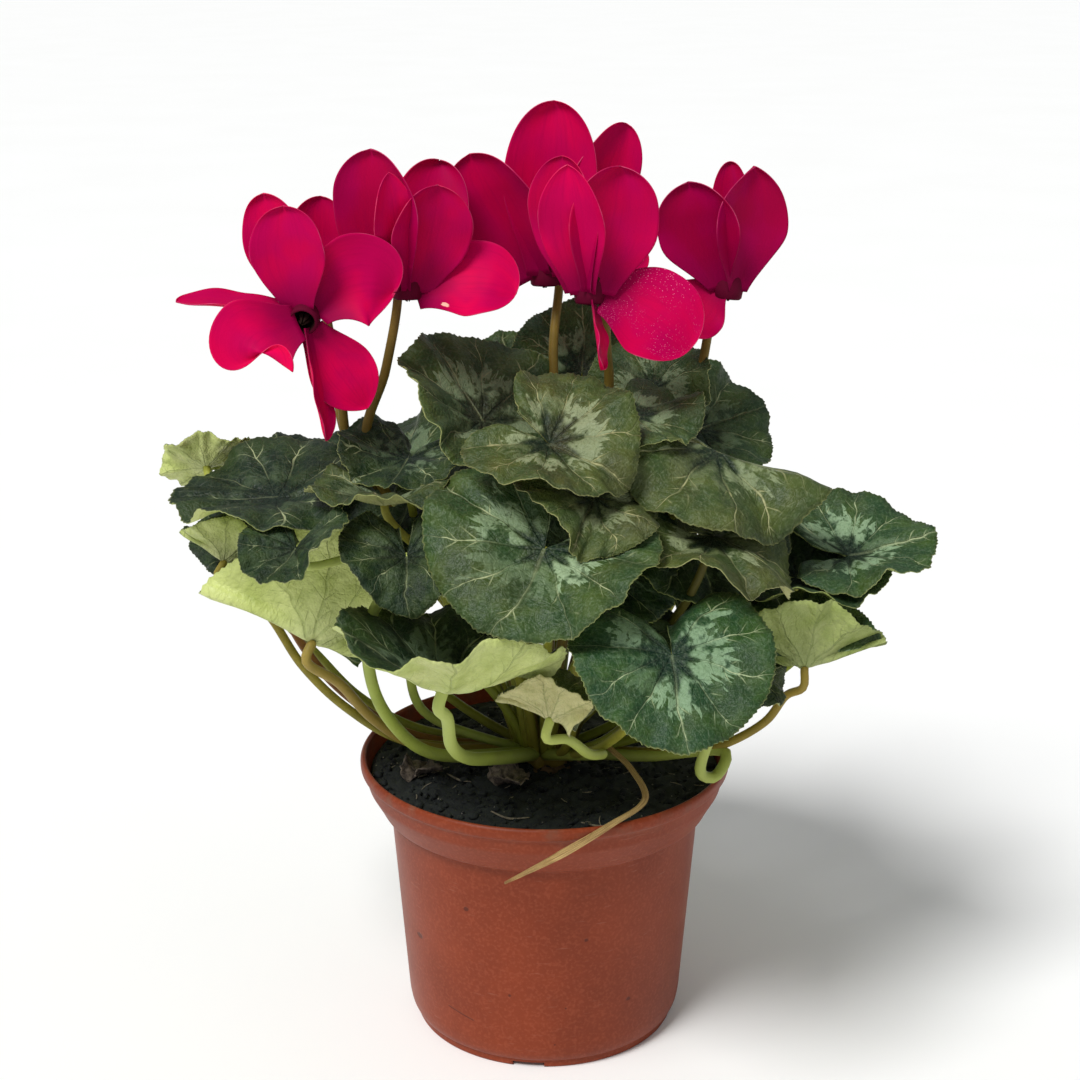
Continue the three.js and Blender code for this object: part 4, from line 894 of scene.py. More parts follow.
def settled_blades(rows):
    """Each blade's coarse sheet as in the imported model, and its fine one."""
    coarse_rest = [blade_points(row, *blade_grid(COARSE)) for row in rows]
    coarse = settle(coarse_rest, **COARSE_SETTLING)
    shifts = [after - before for after, before in zip(coarse, coarse_rest)]
    middle_rest = [blade_points(row, *blade_grid(MIDDLE), crease=CREASE) + finer(shift, COARSE, MIDDLE)
                   for row, shift in zip(rows, shifts)]
    middle = settle(middle_rest, **MIDDLE_SETTLING)
    angle, share = blade_grid(FINE)
    fine = []
    for index, row in enumerate(rows):
        row["seed"] = (index * 0.618034) % 1
        sheet = blade_points(row, angle, toothed(share, row["seed"]),
                             blade_relief(row, angle, share, row["seed"]), CREASE)
        sheet = sheet + finer(shifts[index], COARSE, FINE)
        sheet = sheet + finer(middle[index] - middle_rest[index], MIDDLE, FINE)
        sheet[:, 0] = sheet[:, 0].mean(0)
        fine.append(sheet)
    return coarse, fine


def make_leaves(rows, fine, material):
    """The blades, thin at the margin and thick at the hub, with round and flat coordinates."""
    angle, share = blade_grid(FINE)
    turn = np.radians(angle)
    shape = reach(angle, 1.0) * share
    corners = {"polar": np.stack([angle / 360 + 0.5, share], axis=-1),
               "flat": np.stack([shape * np.cos(turn), shape * np.sin(turn)], axis=-1) * 0.45 + 0.5}
    half = (BLADE_HALF - BLADE_EDGE_LOSS * smoothstep(0.8, 1.0, share)
            + BLADE_HUB_GAIN * (1 - smoothstep(0, 0.25, share)))
    for row, sheet in zip(rows, fine):
        mesh = Mesh()
        values = {name: row[name] for name in ("seed", "age", "silver", "dim", "under_dim")}
        add_sheet(mesh, sheet, half, corners, values, pointed=True)
        mesh.piece(f"blade_{row['name']}", material, [f"leaf_{row['name']}"])


# Blooms: each petal from base to tip, the side it faces and its width, as in the imported model; the
# strength of the painted shade that darkens it; and dust and scar, the strengths of its markings
def petal(base, tip, face, width, **extra):
    row = dict(base=np.array(base, float), tip=np.array(tip, float), face=np.array(face, float),
               width=width, bow=(0, 0, 0), cup=30, peak=0.54, root=0.36, end=0.5, dark=0.0, dust=0.0,
               scar=0.0)
    row.update(extra)
    row["bow"] = np.array(row["bow"], float)
    return row


BLOOMS = [
    dict(name="left_rear", mouth=(-79, 6, 256), axis=(0, 0.25, 1), foot=150, petals=[
        petal((-81, 3, 257), (-92, 3, 295), (-0.3, -0.9, 0.1), 23),
        petal((-77, 3, 257), (-73, 4, 294), (0.2, -0.95, 0.1), 23, dark=0.4),
        petal((-83, 5, 257), (-121, -2, 261), (0, -0.2, 1), 15, dark=0.2),
        petal((-75, 8, 257), (-57, 18, 276), (0.6, -0.6, 0.1), 20, dark=0.6),
        petal((-80, 9, 257), (-84, 30, 284), (-0.3, 0.9, 0.1), 24),
    ], stalk=[(-78, 14, 276), (-76, 18, 266), (-74, 15, 254), (-70, 5, 232), (-66, -1, 213)]),
    dict(name="left_front", mouth=(-75, -38, 262), axis=(0.1, 1, 0.3), foot=200, petals=[
        petal((-76, -38, 265), (-80.5, -37, 297), (-0.2, -0.9, 0.3), 25, dark=0.45),
        petal((-72, -37, 264), (-47, -30, 269), (0.2, -0.9, 0.4), 31, bow=(0, 0, 6), dark=0.3),
        petal((-77, -40, 261), (-89, -48, 252), (-0.2, -0.95, 0.2), 31, bow=(-5, -2, 0)),
        petal((-73, -37, 259), (-56, -36, 233), (0.3, -0.9, 0), 22, end=0.8),
        petal((-74, -40, 258), (-68, -45, 225), (0.95, -0.3, 0), 13),
    ], stalk=[(-74, -15, 270), (-72, -9, 262), (-70, -9, 250), (-67, -10, 229), (-64.5, -9, 213)]),
    dict(name="centre_rear", mouth=(0, 12, 265), axis=(0, 0.1, 1), foot=75, petals=[
        petal((-4, 9, 266), (-25, 6, 307), (-0.4, -0.9, 0), 34, dark=0.5),
        petal((0, 8, 267), (3, 10, 324), (0, -1, 0), 32, dark=0.15),
        petal((4, 10, 266), (27, 16, 316), (0.4, -0.9, 0), 25, dark=0.2),
        petal((4, 14, 266), (35, 24, 272), (0.2, -0.9, 0.5), 20, dark=0.3),
        petal((-1, 16, 266), (-12, 40, 292), (-0.2, 1, 0.2), 26),
    ], stalk=[(2, 18, 285), (4, 22, 276), (5, 22, 264), (3, 14, 244), (3, 8, 226)]),
    dict(name="left_centre", mouth=(-44, -16, 266), axis=(0, 0.1, 1), foot=245, petals=[
        petal((-48, -18, 267), (-55, -20, 312), (-0.4, -0.9, 0), 31, dark=0.8),
        petal((-47, -22, 268), (-48, -29, 306), (0.4, -0.9, 0), 15, dark=0.2, end=0.7),
        petal((-41, -19, 267), (-33, -22, 301), (0.4, -0.9, 0), 28, dark=0.45),
        petal((-42, -12, 267), (-34, 2, 306), (0.1, -1, 0), 26, dark=0.6),
        petal((-41, -17, 265), (-9, -20, 267), (0.1, -0.8, 0.6), 28, bow=(0, 0, 4), scar=1.0),
    ], stalk=[(-46, -10, 285), (-48, -7, 276), (-48, -6, 262), (-52, -11, 240), (-58.5, -16, 214)]),
    dict(name="centre_front", mouth=(14, -28, 267), axis=(0, 0.1, 1), foot=300, petals=[
        petal((11, -30, 269), (4.5, -28, 311), (-0.6, -0.8, 0), 27, dark=0.45),
        petal((11, -33, 269), (6.5, -38, 309.5), (-0.3, -1, 0), 22, end=0.7),
        petal((16, -31, 269), (23.5, -29, 308), (0.3, -0.95, 0), 31, dark=0.5),
        petal((18, -29, 267), (46, -34, 252), (0.1, -0.85, 0.5), 32, bow=(0, 0, 3), dust=1.0, dark=0.3),
        petal((15, -32, 266), (18, -38, 246), (0.95, -0.3, 0), 12),
    ], stalk=[(16, -22, 286), (18, -18, 277), (19, -17, 264), (20, -13, 248), (21, -8, 230)]),
    dict(name="right", mouth=(60.6, 5, 262), axis=(0.1, 0.1, 1), foot=5, petals=[
        petal((56.6, 2, 264), (46, 0, 299), (-0.35, -0.93, 0), 29, root=0.22, dark=1.0),
        petal((63.6, 2, 263), (68, 1, 304), (0.4, -0.9, 0), 28, root=0.22, end=0.8, dark=0.95),
        petal((61.6, 9, 264), (61, 14, 304), (0, -1, 0), 14, root=0.22, dark=0.7),
        petal((56.6, 4, 265), (45, 3, 250), (-0.3, -0.9, 0.3), 24, dark=0.5),
        petal((62.6, 9, 263), (68.6, 34, 284), (0.4, 0.9, 0.2), 24),
    ], stalk=[(59.6, 13, 281), (56.6, 17, 272), (56.4, 16, 258), (54.5, 10, 245), (50.5, 6, 228)]),
]

PETAL_STEPS = 36
PETAL_STRIPS = 22
TUBE_PROFILE = [(0, 4.5), (1.6, 3.6), (2.9, 1.2), (3.5, -1.0), (4.1, -1.9), (4.7, -1.3), (5.0, 1.5),
                (4.8, 4.6), (3.9, 7.6), (2.6, 9.6), (1.6, 10.6), (0, 10.9)]
TUBE_SIDES = 30
SEPALS = 5
PETAL_HALF = 0.34
PETAL_EDGE_LOSS = 0.22
PETAL_RIPPLE = 0.55
PETAL_CURL = 0.05
PETAL_CHANNEL = 0.12


def petal_share(s, row):
    """Half width along a petal, from its narrow root over its widest place to its tip."""
    rising = row["root"] + (1 - row["root"]) * smoothstep(-0.15, 1, s / row["peak"])
    past = np.clip((s - row["peak"]) / (1 - row["peak"]), 0, 1)
    falling = np.maximum(1 - past ** 2.2, 0) ** row["end"]
    return np.where(s < row["peak"], rising, np.maximum(falling, 0.015))


def petal_sheet(row, root, seed):
    """A petal's middle surface, with its places along and across."""
    base = row["base"] - root
    base = root + base * min(1, 0.75 * TUBE_RADIUS / np.linalg.norm(base))
    middle = (row["base"] + row["tip"]) / 2 + 2 * row["bow"]
    s = 1 - (1 - np.linspace(0, 1, PETAL_STEPS + 1)) ** 1.5
    even = np.linspace(-1, 1, PETAL_STRIPS + 1)
    v = np.sin(even * np.pi / 2) * 0.4 + even * 0.6
    t = s[:, None]
    spine = (1 - t) ** 2 * base + 2 * (1 - t) * t * middle + t ** 2 * row["tip"]
    along = unit(2 * (1 - t) * (middle - base) + 2 * t * (row["tip"] - middle))
    front = unit(row["face"] - along * (along @ row["face"])[:, None])
    across = np.cross(front, along)
    half_width = row["width"] / 2 * petal_share(s, row)
    cup = math.radians(row["cup"])
    angle = cup * v
    sideways = (half_width / cup)[:, None] * np.sin(angle)
    forward = (half_width / cup)[:, None] * (1 - np.cos(angle))
    ripple = PETAL_RIPPLE * np.sin(t * 13 + seed * 30) * np.abs(v) ** 3 * smoothstep(0.15, 0.5, t)
    curl = -PETAL_CURL * row["width"] * smoothstep(0.7, 1, t) * (1 - v ** 2)
    channel = -PETAL_CHANNEL * np.exp(-(v / 0.2) ** 2) * (1 - smoothstep(0.3, 0.95, t))
    sheet = (spine[:, None] + across[:, None] * sideways[..., None]
             + front[:, None] * (forward + ripple + curl + channel)[..., None])
    return sheet[:, ::-1].transpose(1, 0, 2), s, v[::-1]


def turn_to(axis):
    """The turn that brings +Z onto an axis."""
    return np.array(Vector((0, 0, 1)).rotation_difference(Vector(axis)).to_matrix())


def make_tube(mesh, row, seed):
    """The flower's short tube with painted shade in its throat, five sepals and a cone of anthers in that
    shade.
    """
    turn = turn_to(row["axis"])
    mouth = np.array(row["mouth"], float)
    part = Mesh()
    # painted shade inside the tube's mouth
    inside = np.repeat([1, 1, 1, 0.8] + [0] * 8, TUBE_SIDES)
    run = np.repeat(np.linspace(0, 1, len(TUBE_PROFILE)), TUBE_SIDES)
    add_turned(part, TUBE_PROFILE, TUBE_SIDES, None, {"inside": inside, "run": run})
    for k in range(SEPALS):
        around = 2 * math.pi * (k + 0.5) / SEPALS + seed
        t = np.linspace(0, 1, 12)
        radius = np.interp(t, [0, 0.2, 0.58, 1], [1.7, 2.7, 4.0, 4.8])
        height = 10.6 - 5.2 * t
        width = 0.36 * (1 - t ** 1.6) + 0.02
        v = np.linspace(-1, 1, 5)
        spread = around + v[:, None] * width[None]
        sheet = np.stack([(radius + 0.15) * np.cos(spread), (radius + 0.15) * np.sin(spread),
                          height * np.ones_like(spread)], axis=-1)
        half = np.full(sheet.shape[:2], 0.16)
        add_sheet(part, sheet[::-1], half, {}, {"inside": 0, "run": 1.0})
        anther = np.array([polar(1.1, around, 4.2), polar(1.5, around, 0.5), polar(0.5, around, -2.6)])
        # the anthers sit in the tube's painted shade
        add_tube(part, anther, np.array([0.9, 0.8, 0.15]), 8, {"inside": 0.85})
    points = np.concatenate(part.points) @ turn.T + mouth
    values = {name: np.concatenate(part.values[name]) for name in ("inside", "run")}
    mesh.add(points, part.faces, None, values)


def make_blooms(petals, throat):
    """Each bloom's five petals, thin towards their edges, and its tube."""
    chance = draw_from(77)
    for row in BLOOMS:
        axis = unit(row["axis"])
        root = np.array(row["mouth"], float) + 1.5 * axis
        mesh = Mesh()
        for each in row["petals"]:
            seed = next(chance)
            sheet, s, v = petal_sheet(each, root, seed)
            corners = {"petal": np.stack(np.meshgrid(v * 0.5 + 0.5, s, indexing="ij"), axis=-1)}
            thin = smoothstep(0.6, 1.0, np.abs(v))[:, None] * np.ones(len(s))
            thin = np.maximum(thin, smoothstep(0.85, 1.0, s)[None] * np.ones((len(v), 1)))
            values = {name: each[name] for name in ("dark", "dust", "scar")}
            add_sheet(mesh, sheet, PETAL_HALF - PETAL_EDGE_LOSS * thin, corners,
                      {"seed": seed, **values})
        mesh.piece(f"petals_{row['name']}", petals, [f"bloom_{row['name']}"])
        tube = Mesh()
        make_tube(tube, row, next(chance) * 6)
        tube.piece(f"flower_tube_{row['name']}", throat)


# Stalks and petioles
STALK_FOOT = 5.2
STALK_STEPS = 90
STALK_SIDES = 16
PACKED_STALK_STEPS = 51
HAIRS = 420
HAIR_LENGTH = 0.55
HAIR_RADIUS = 0.05


def add_hairs(mesh, line, radii, chance, values):
    """Short glandular hairs, each a slim three-sided spike rooted in the stem."""
    along, across, up = line_frames(line)
    place = np.array([[next(chance), next(chance), next(chance)] for _ in range(HAIRS)])
    step = (4 + place[:, 0] * (len(line) - 12)).astype(int)
    turn = place[:, 1] * 2 * np.pi
    out = across[step] * np.cos(turn)[:, None] + up[step] * np.sin(turn)[:, None]
    side = np.cross(out, along[step])
    root = line[step] + out * (radii[step] * 0.93)[:, None]
    length = HAIR_LENGTH * (0.6 + 0.6 * place[:, 2])
    tip = root + out * length[:, None] + along[step] * (0.3 * length)[:, None]
    ring = [root + HAIR_RADIUS * (math.cos(a) * along[step] + math.sin(a) * side)
            for a in (0, 2 * math.pi / 3, 4 * math.pi / 3)]
    points = np.stack([*ring, tip], axis=1).reshape(-1, 3)
    first = 4 * np.arange(HAIRS)[:, None]
    faces = [first + np.array(corners) for corners in ((0, 2, 1), (0, 1, 3), (1, 2, 3), (2, 0, 3))]
    mesh.add(points, faces, None, {"run": 0.5, **values})


def stalk_line(row, count):
    """A flower stalk's line from the tuber up to its hook behind the flower."""
    axis = unit(row["axis"])
    end = np.array(row["mouth"], float) + axis * (TUBE_LENGTH - 2 + CLEARANCE)
    foot = polar(STALK_FOOT, math.radians(row["foot"]), TUBER_TOP + 1.2)
    led = [np.array(p, float) for p in reversed(row["stalk"])]
    rising = (foot + (0, 0, 20)) * 0.86 + led[0] * 0.14
    return catmull_rom([foot, rising, *led, end + axis * 5, end], count)


def make_stalks(material):
    """The flower stalks with their hairs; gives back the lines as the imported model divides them."""
    chance = draw_from(313)
    run = np.linspace(0, 1, STALK_STEPS)
    radii = STALK_RADIUS * (1.12 - 0.34 * run + 0.2 * np.exp(-((run - 1) / 0.02) ** 2))
    for row in BLOOMS:
        line = stalk_line(row, STALK_STEPS)
        mesh = Mesh()
        add_tube(mesh, line, radii, STALK_SIDES, {"pale": 0, "tint": 0.35, "stem_painted_shade": 0})
        add_hairs(mesh, line, radii, chance, {"pale": 1, "tint": 0, "stem_painted_shade": 0})
        mesh.piece(f"stem_{row['name']}", material, [f"stalk_{row['name']}"])
    return [stalk_line(row, PACKED_STALK_STEPS) for row in BLOOMS]


# Petioles led along a way of their own, and what differs from the rule: the radius, how pale and
# how brown (tint) they are, and how much painted shade darkens them where they pass through shade
PETIOLES = {
    "front_bowl": dict(led=[(-14, -30, 110), (-25, -46, 117), (-30, -62, 129), (-31, -70, 142)],
                       radius=2.2, pale=0.75, tint=0),
    "front_small": dict(led=[(13, -28, 110), (19, -44, 117.5), (14, -58, 124), (7, -67, 133)],
                        radius=1.7, pale=0.5, tint=0.1),
    "right_under": dict(led=[(34, -22, 107), (61, -33, 113), (57, -38, 106.5), (52, -41, 109),
                             (54, -46, 124)], radius=1.9, pale=0.7, tint=0.1),
    "right_low_fold": dict(led=[(42, -25, 110), (58, -31, 114.5), (73, -38, 126.5), (79, -43, 138)],
                           tint=0.6),
    "left_hanging": dict(led=[(-45, -8, 111.5), (-64, -12, 125), (-77, -15, 141), (-92, -17, 160.5)],
                         pale=0.35, tint=0.3),
    "left_low_fold": dict(led=[(-43, -20, 110), (-58, -27, 123), (-68, -35, 139)],
                          radius=1.8, pale=0.15, tint=0.75),
    "left_cup": dict(led=[(-39, -27, 110.5), (-52, -36, 127), (-57, -46, 148), (-54, -58, 173)],
                     radius=2, pale=0.6, tint=0),
    "left_tucked": dict(led=[(-48, -16, 110), (-67, -22, 124.5), (-81, -27, 142), (-93, -29, 163)],
                        tint=0.5),
    "left_wide": dict(led=[(-46, -12, 110.5), (-65, -17, 125), (-79, -21, 143), (-88, -25, 166.5)],
                      tint=1),
    "left_lip": dict(led=[(-41, -15, 120), (-46, -28, 146), (-48, -42, 171), (-54, -52, 189)],
                     pale=0.8, tint=0),
    # painted shade on these stems, which pass through shade behind the front leaves
    "right_wave": dict(stem_painted_shade=0.7),
    "right_saddle": dict(stem_painted_shade=0.6),
    "centre_right": dict(stem_painted_shade=0.6),
}
CROWN_FOOT = 9.5
LOW_LEAF_HEIGHT = 185
RIM_PASS_HEIGHT = 103.5
PLENTY = 5
PETIOLE_STEPS = 61
PETIOLE_SIDES = 12


def petiole_choices(hub, top, row):
    """Ways for a petiole: the one it is led along, or else the corner points of several bends."""
    droop = PETIOLE_RADIUS * math.tan(math.radians(max(0, *(-fold for fold in row["fold"]))))
    end = hub - top * (BLADE_THICKNESS / 2 + 1.5 * CLEARANCE + droop)
    bearing = math.atan2(end[1], end[0])
    led = PETIOLES.get(row["name"], {}).get("led")

    def foot(turn):
        return polar(CROWN_FOOT, bearing + turn, TUBER_TOP + CROWN_HEIGHT * 0.4)

    if led:
        return [catmull_rom([foot(0), *led, end - top * 6, end], PETIOLE_STEPS)]
    choices = []
    for turn in (0, 0.45, -0.45, 0.9, -0.9):
        outward = polar(1, bearing + turn, 0)
        if end[2] < LOW_LEAF_HEIGHT:
            lead = outward * 0.9 + (0, 0, 0.3)
        else:
            lead = outward * 0.25 + (0, 0, 0.95)
        start = foot(turn)
        span = np.linalg.norm(end - start)
        for out_share in (0.5, 0.35, 0.65):
            for end_share in (0.22, 0.12, 0.4):
                choices.append((start, start + lead * span * out_share,
                                end - top * span * end_share, end))
    return choices


def sheet_samples(sheet):
    """Points on a sheet close enough together to measure distances by."""
    corner = sheet[:-1, 1:]
    inner = (sheet[:-1, :-1] + sheet[1:, 1:]) / 2
    outer = (sheet[:-1, 1:] + sheet[1:, 1:]) / 2
    return np.concatenate([corner.reshape(-1, 3), inner.reshape(-1, 3), outer.reshape(-1, 3)])


def least_distance(points, others):
    return math.sqrt(max(square_distances(points, others).min(), 0))


def petiole_line(index, rows, coarse, samples, stalk_points):
    """Of a few possible bends, the one that keeps furthest from the other blades and stalks."""
    row = rows[index]
    top = sheet_normals(coarse[index])[0, 0]
    choices = petiole_choices(coarse[index][0, 0], top, row)
    if len(choices) == 1:
        return choices[0]
    t = (np.arange(2, 16) / 16)[:, None]
    weights = np.concatenate([(1 - t) ** 3, 3 * (1 - t) ** 2 * t, 3 * (1 - t) * t ** 2, t ** 3], axis=1)
    best = None
    most = -math.inf
    for choice in choices:
        p = weights @ np.array(choice)
        least = PLENTY
        by_rim = (np.hypot(p[:, 0], p[:, 1]) > POT_RIM_RADIUS - 9) & (p[:, 2] < RIM_PASS_HEIGHT + PLENTY)
        if by_rim.any():
            least = min(least, (p[by_rim, 2] - RIM_PASS_HEIGHT).min())
        for k, other in enumerate(rows):
            own = p[:11] if k == index else p
            far = np.linalg.norm(own - coarse[k][COARSE[0] // 2, 1], axis=1)
            close = own[far <= other["size"] * 1.3 + PLENTY]
            if len(close):
                distance = least_distance(close, samples[k])
                least = min(least, distance - PETIOLE_RADIUS - BLADE_THICKNESS)
        least = min(least, least_distance(p, stalk_points) - PETIOLE_RADIUS - STALK_RADIUS)
        if least > most + 0.3:
            most = least
            best = choice
    return bezier(*best, PETIOLE_STEPS)


def make_petioles(rows, coarse, fine, stalk_lines, material):
    """The leaf stems, each up to its blade, and the crown that they grow from."""
    samples = [sheet_samples(sheet) for sheet in coarse]
    stalk_points = np.concatenate(stalk_lines)
    mesh = Mesh()
    for index, row in enumerate(rows):
        line = petiole_line(index, rows, coarse, samples, stalk_points)
        line[-1] = fine[index][0, 0]
        line = even_points(line, PETIOLE_STEPS)
        own = dict(radius=PETIOLE_RADIUS, pale=0, tint=0.05 + 0.4 * row["seed"], stem_painted_shade=0)
        own.update(PETIOLES.get(row["name"], {}))
        radii = own["radius"] * (1.15 - 0.25 * np.linspace(0, 1, PETIOLE_STEPS))
        values = {name: own[name] for name in ("pale", "tint", "stem_painted_shade")}
        add_tube(mesh, line, radii, PETIOLE_SIDES, values)
    profile = [(0, TUBER_TOP - 3), (CROWN_RADIUS - 1, TUBER_TOP - 3), (CROWN_RADIUS, TUBER_TOP),
               (CROWN_RADIUS * 0.97, TUBER_TOP + 2), (CROWN_RADIUS * 0.85, TUBER_TOP + 4),
               (CROWN_RADIUS * 0.6, TUBER_TOP + CROWN_HEIGHT - 1), (0, TUBER_TOP + CROWN_HEIGHT)]

    def lumps(radius, height, turn):
        knobs = 1 + 0.08 * np.cos(9 * turn + 0.3 * height) + 0.05 * np.cos(14 * turn)
        return radius * knobs, height + 0.4 * np.cos(7 * turn + radius)

    add_turned(mesh, profile, 60, lumps, {"run": 0, "pale": 0, "tint": 0.6, "stem_painted_shade": 0})
    mesh.piece("leaf_stems", material, ["petioles"])


# Pot, soil and what lies on it
STAND_RING_INNER = 44.4
STAND_RING_OUTER = 46.5
STAND_RING_HEIGHT = 3
STAND_BOSS_RADIUS = 18
DRAINS = 6
DRAIN_RING = 31
DRAIN_RADIUS = 4
NOTCHES = 4
NOTCH_START = -97
POT_MOUTH_RADIUS = 62.9
SOIL_RADIUS = 61.2


def rounded(profile, radius, steps=4):
    """A profile whose inner corners are rounded."""
    profile = np.array(profile, float)
    out = [profile[0]]
    for before, corner, after in zip(profile[:-2], profile[1:-1], profile[2:]):
        a = unit(before - corner) * min(radius, np.linalg.norm(before - corner) * 0.4)
        b = unit(after - corner) * min(radius, np.linalg.norm(after - corner) * 0.4)
        for t in np.linspace(0, 1, steps + 1):
            out.append(corner + a * (1 - t) ** 2 + b * t ** 2)
    out.append(profile[-1])
    return out


def cut(thing, tools):
    """Cuts the tools out of a piece and removes them."""
    bpy.context.view_layer.objects.active = thing
    for tool in tools:
        modifier = thing.modifiers.new("cut", "BOOLEAN")
        modifier.operation = "DIFFERENCE"
        modifier.object = tool
        modifier.solver = "EXACT"
        bpy.ops.object.modifier_apply(modifier=modifier.name)
        bpy.data.objects.remove(tool)


def tool_object(mesh):
    """A plain object to cut with."""
    points = np.concatenate(mesh.points) * MM
    data = bpy.data.meshes.new("tool")
    faces = [tuple(int(k) for k in face) for part in mesh.faces for face in part]
    data.from_pydata([tuple(p) for p in points], [], faces)
    return linked("tool", data)


def make_pot(material):
    """The pot, turned from one profile, with drain holes and notches cut out of its foot."""
    wall_top = POT_BODY_TOP_RADIUS - POT_WALL
    outside = [
        (0, 0), (STAND_BOSS_RADIUS, 0), (STAND_BOSS_RADIUS + 2, STAND_RING_HEIGHT),
        (STAND_RING_INNER, STAND_RING_HEIGHT), (STAND_RING_INNER, 0), (STAND_RING_OUTER, 0),
        (STAND_RING_OUTER, STAND_RING_HEIGHT), (47.6, 3.4), (48.6, 5.6), (POT_BODY_FOOT_RADIUS, 9),
        (POT_BODY_TOP_RADIUS, 80), (57.6, 81.2), (59.2, 84.4), (62.4, 90), (63.4, 95),
        (POT_RIM_RADIUS, 96), (POT_RIM_RADIUS, 98.8), (64, POT_HEIGHT),
    ]
    inside = [(62.9, 99.4), (62.4, 95), (60.9, 90.4), (57.6, 84.8), (56.2, 82.4), (wall_top, 79.6),
              (POT_BODY_FOOT_RADIUS - POT_WALL, 9.5), (45.6, 5.2), (0, 5.2)]
    mesh = Mesh()
    add_turned(mesh, rounded(outside + inside, 1.0), 160)
    pot = mesh.piece("nursery_pot", material, ["pot"])
    tools = []
    for k in range(DRAINS):
        tool = Mesh()
        add_turned(tool, [(0, -5), (DRAIN_RADIUS, -5), (DRAIN_RADIUS, 12), (0, 12)], 24)
        tool.points[0] += polar(DRAIN_RING, 2 * math.pi * k / DRAINS, 0)
        tools.append(tool_object(tool))
    corners = np.array([(x, y, z) for x in (-6, 6) for y in (-5.5, 5.5) for z in (-2, 1.8)], float)
    quads = np.array([(0, 1, 3, 2), (4, 6, 7, 5), (0, 4, 5, 1), (2, 3, 7, 6), (0, 2, 6, 4), (1, 5, 7, 3)])
    for k in range(NOTCHES):
        angle = math.radians(NOTCH_START + 360 / NOTCHES * k)
        turn = np.array([[math.cos(angle), -math.sin(angle), 0], [math.sin(angle), math.cos(angle), 0],
                         [0, 0, 1]])
        tool = Mesh()
        tool.add((corners + (STAND_RING_OUTER, 0, 0)) @ turn.T, [quads])
        tools.append(tool_object(tool))
    cut(pot, tools)


def soil_height(x, y):
    """The ground's height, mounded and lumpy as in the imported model."""
    share = np.hypot(x, y) / POT_MOUTH_RADIUS
    mound = SOIL_MOUND * (1 - share * share)
    lumps = np.sin(x * 0.31 + 1.1) * np.cos(y * 0.27 - 0.6) + 0.7 * np.sin(x * 0.13 - y * 0.19 + 2)
    return SOIL_EDGE_HEIGHT + mound + 0.7 * lumps * (1 - share ** 6)


def fine_lumps(x, y, seed=5, count=26):
    """Soft unevenness of the ground, a sum of waves in drawn directions."""
    chance = draw_from(seed)
    total = np.zeros_like(x)
    for k in range(count):
        turn = next(chance) * 2 * math.pi
        wave = 0.5 + 2.2 * next(chance)
        phase = next(chance) * 2 * math.pi
        total += np.sin(wave * (x * math.cos(turn) + y * math.sin(turn)) + phase) / (1 + wave)
    return total * 0.35


CLODS = 1500
CLOD_SPREAD = 60.3
CLOD_LIMIT = 61


def add_clod(mesh, centre, size, chance):
    """A rough lump: a cage of rings pushed in and out."""
    rings, sides = 5, 7
    theta = np.linspace(0, np.pi, rings + 2)[1:-1]
    phi = circle(sides)
    stretch = np.array([0.7 + 0.6 * next(chance), 0.7 + 0.6 * next(chance), 0.5 + 0.4 * next(chance)])
    rough = np.array([[0.75 + 0.5 * next(chance) for _ in phi] for _ in theta])
    level = np.sin(theta)[:, None]
    body = np.stack([level * np.cos(phi) * rough, level * np.sin(phi) * rough,
                     np.cos(theta)[:, None] * rough], axis=-1).reshape(-1, 3)
    points = np.concatenate([body, [(0, 0, 1), (0, 0, -1)]]) * stretch * size
    angle = next(chance) * 6.28
    axis = (next(chance), next(chance), next(chance) + 0.1)
    turn = np.array(Matrix.Rotation(angle, 3, axis))
    faces = [np.roll(each[:, ::-1], 1, axis=1) for each in ring_faces(rings, sides)]
    mesh.add(points @ turn.T + centre, faces)


def make_soil(material):
    """The soil that fills the pot, uneven on top, and the crumbs that lie on it."""
    mesh = Mesh()
    below = [(0, 5.5), (47.3, 9.8), (52.7, 79.9), (57.3, 85.1), (60.2, 90.4)]
    surface = [(radius, 0) for radius in [*np.linspace(SOIL_RADIUS, 1.5, 70), 0]]

    def shape(radius, height, turn):
        bare = radius[len(below):]
        x = bare * np.cos(turn)
        y = bare * np.sin(turn)
        ground = soil_height(x, y) + fine_lumps(x, y) * (1 - smoothstep(57, SOIL_RADIUS, bare))
        return radius, np.concatenate([height[:len(below)], ground])

    add_turned(mesh, below + surface, 150, shape)
    mesh.piece("soil_bed", material, ["soil"])
    clods = Mesh()
    chance = draw_from(991)
    for _ in range(CLODS):
        radius = CLOD_SPREAD * math.sqrt(next(chance))
        angle = next(chance) * 2 * math.pi
        size = 0.35 + 1.3 * next(chance) ** 3
        x, y = polar(min(radius, CLOD_LIMIT - size), angle)
        add_clod(clods, (x, y, float(soil_height(x, y)) + size * 0.2), size, chance)
    clods.piece("soil_crumbs", material)


# Pale dry threads that lie on the soil, by their places seen from above, and how many short ones
# are strewn about
THREADS = [
    [(-44, -14.6), (-36.6, -9.6), (-26.6, -3.7)],
    [(-33.9, -14.6), (-29.2, -19.5), (-25.4, -21.1)],
    [(-18, -44), (-12, -47), (-5, -46)],
    [(12, -50), (19, -52), (25, -49)],
]
SHORT_THREADS = 40
THREADS_INNER = 26
THREADS_SPREAD = 32
THREAD_LIFT = 0.6


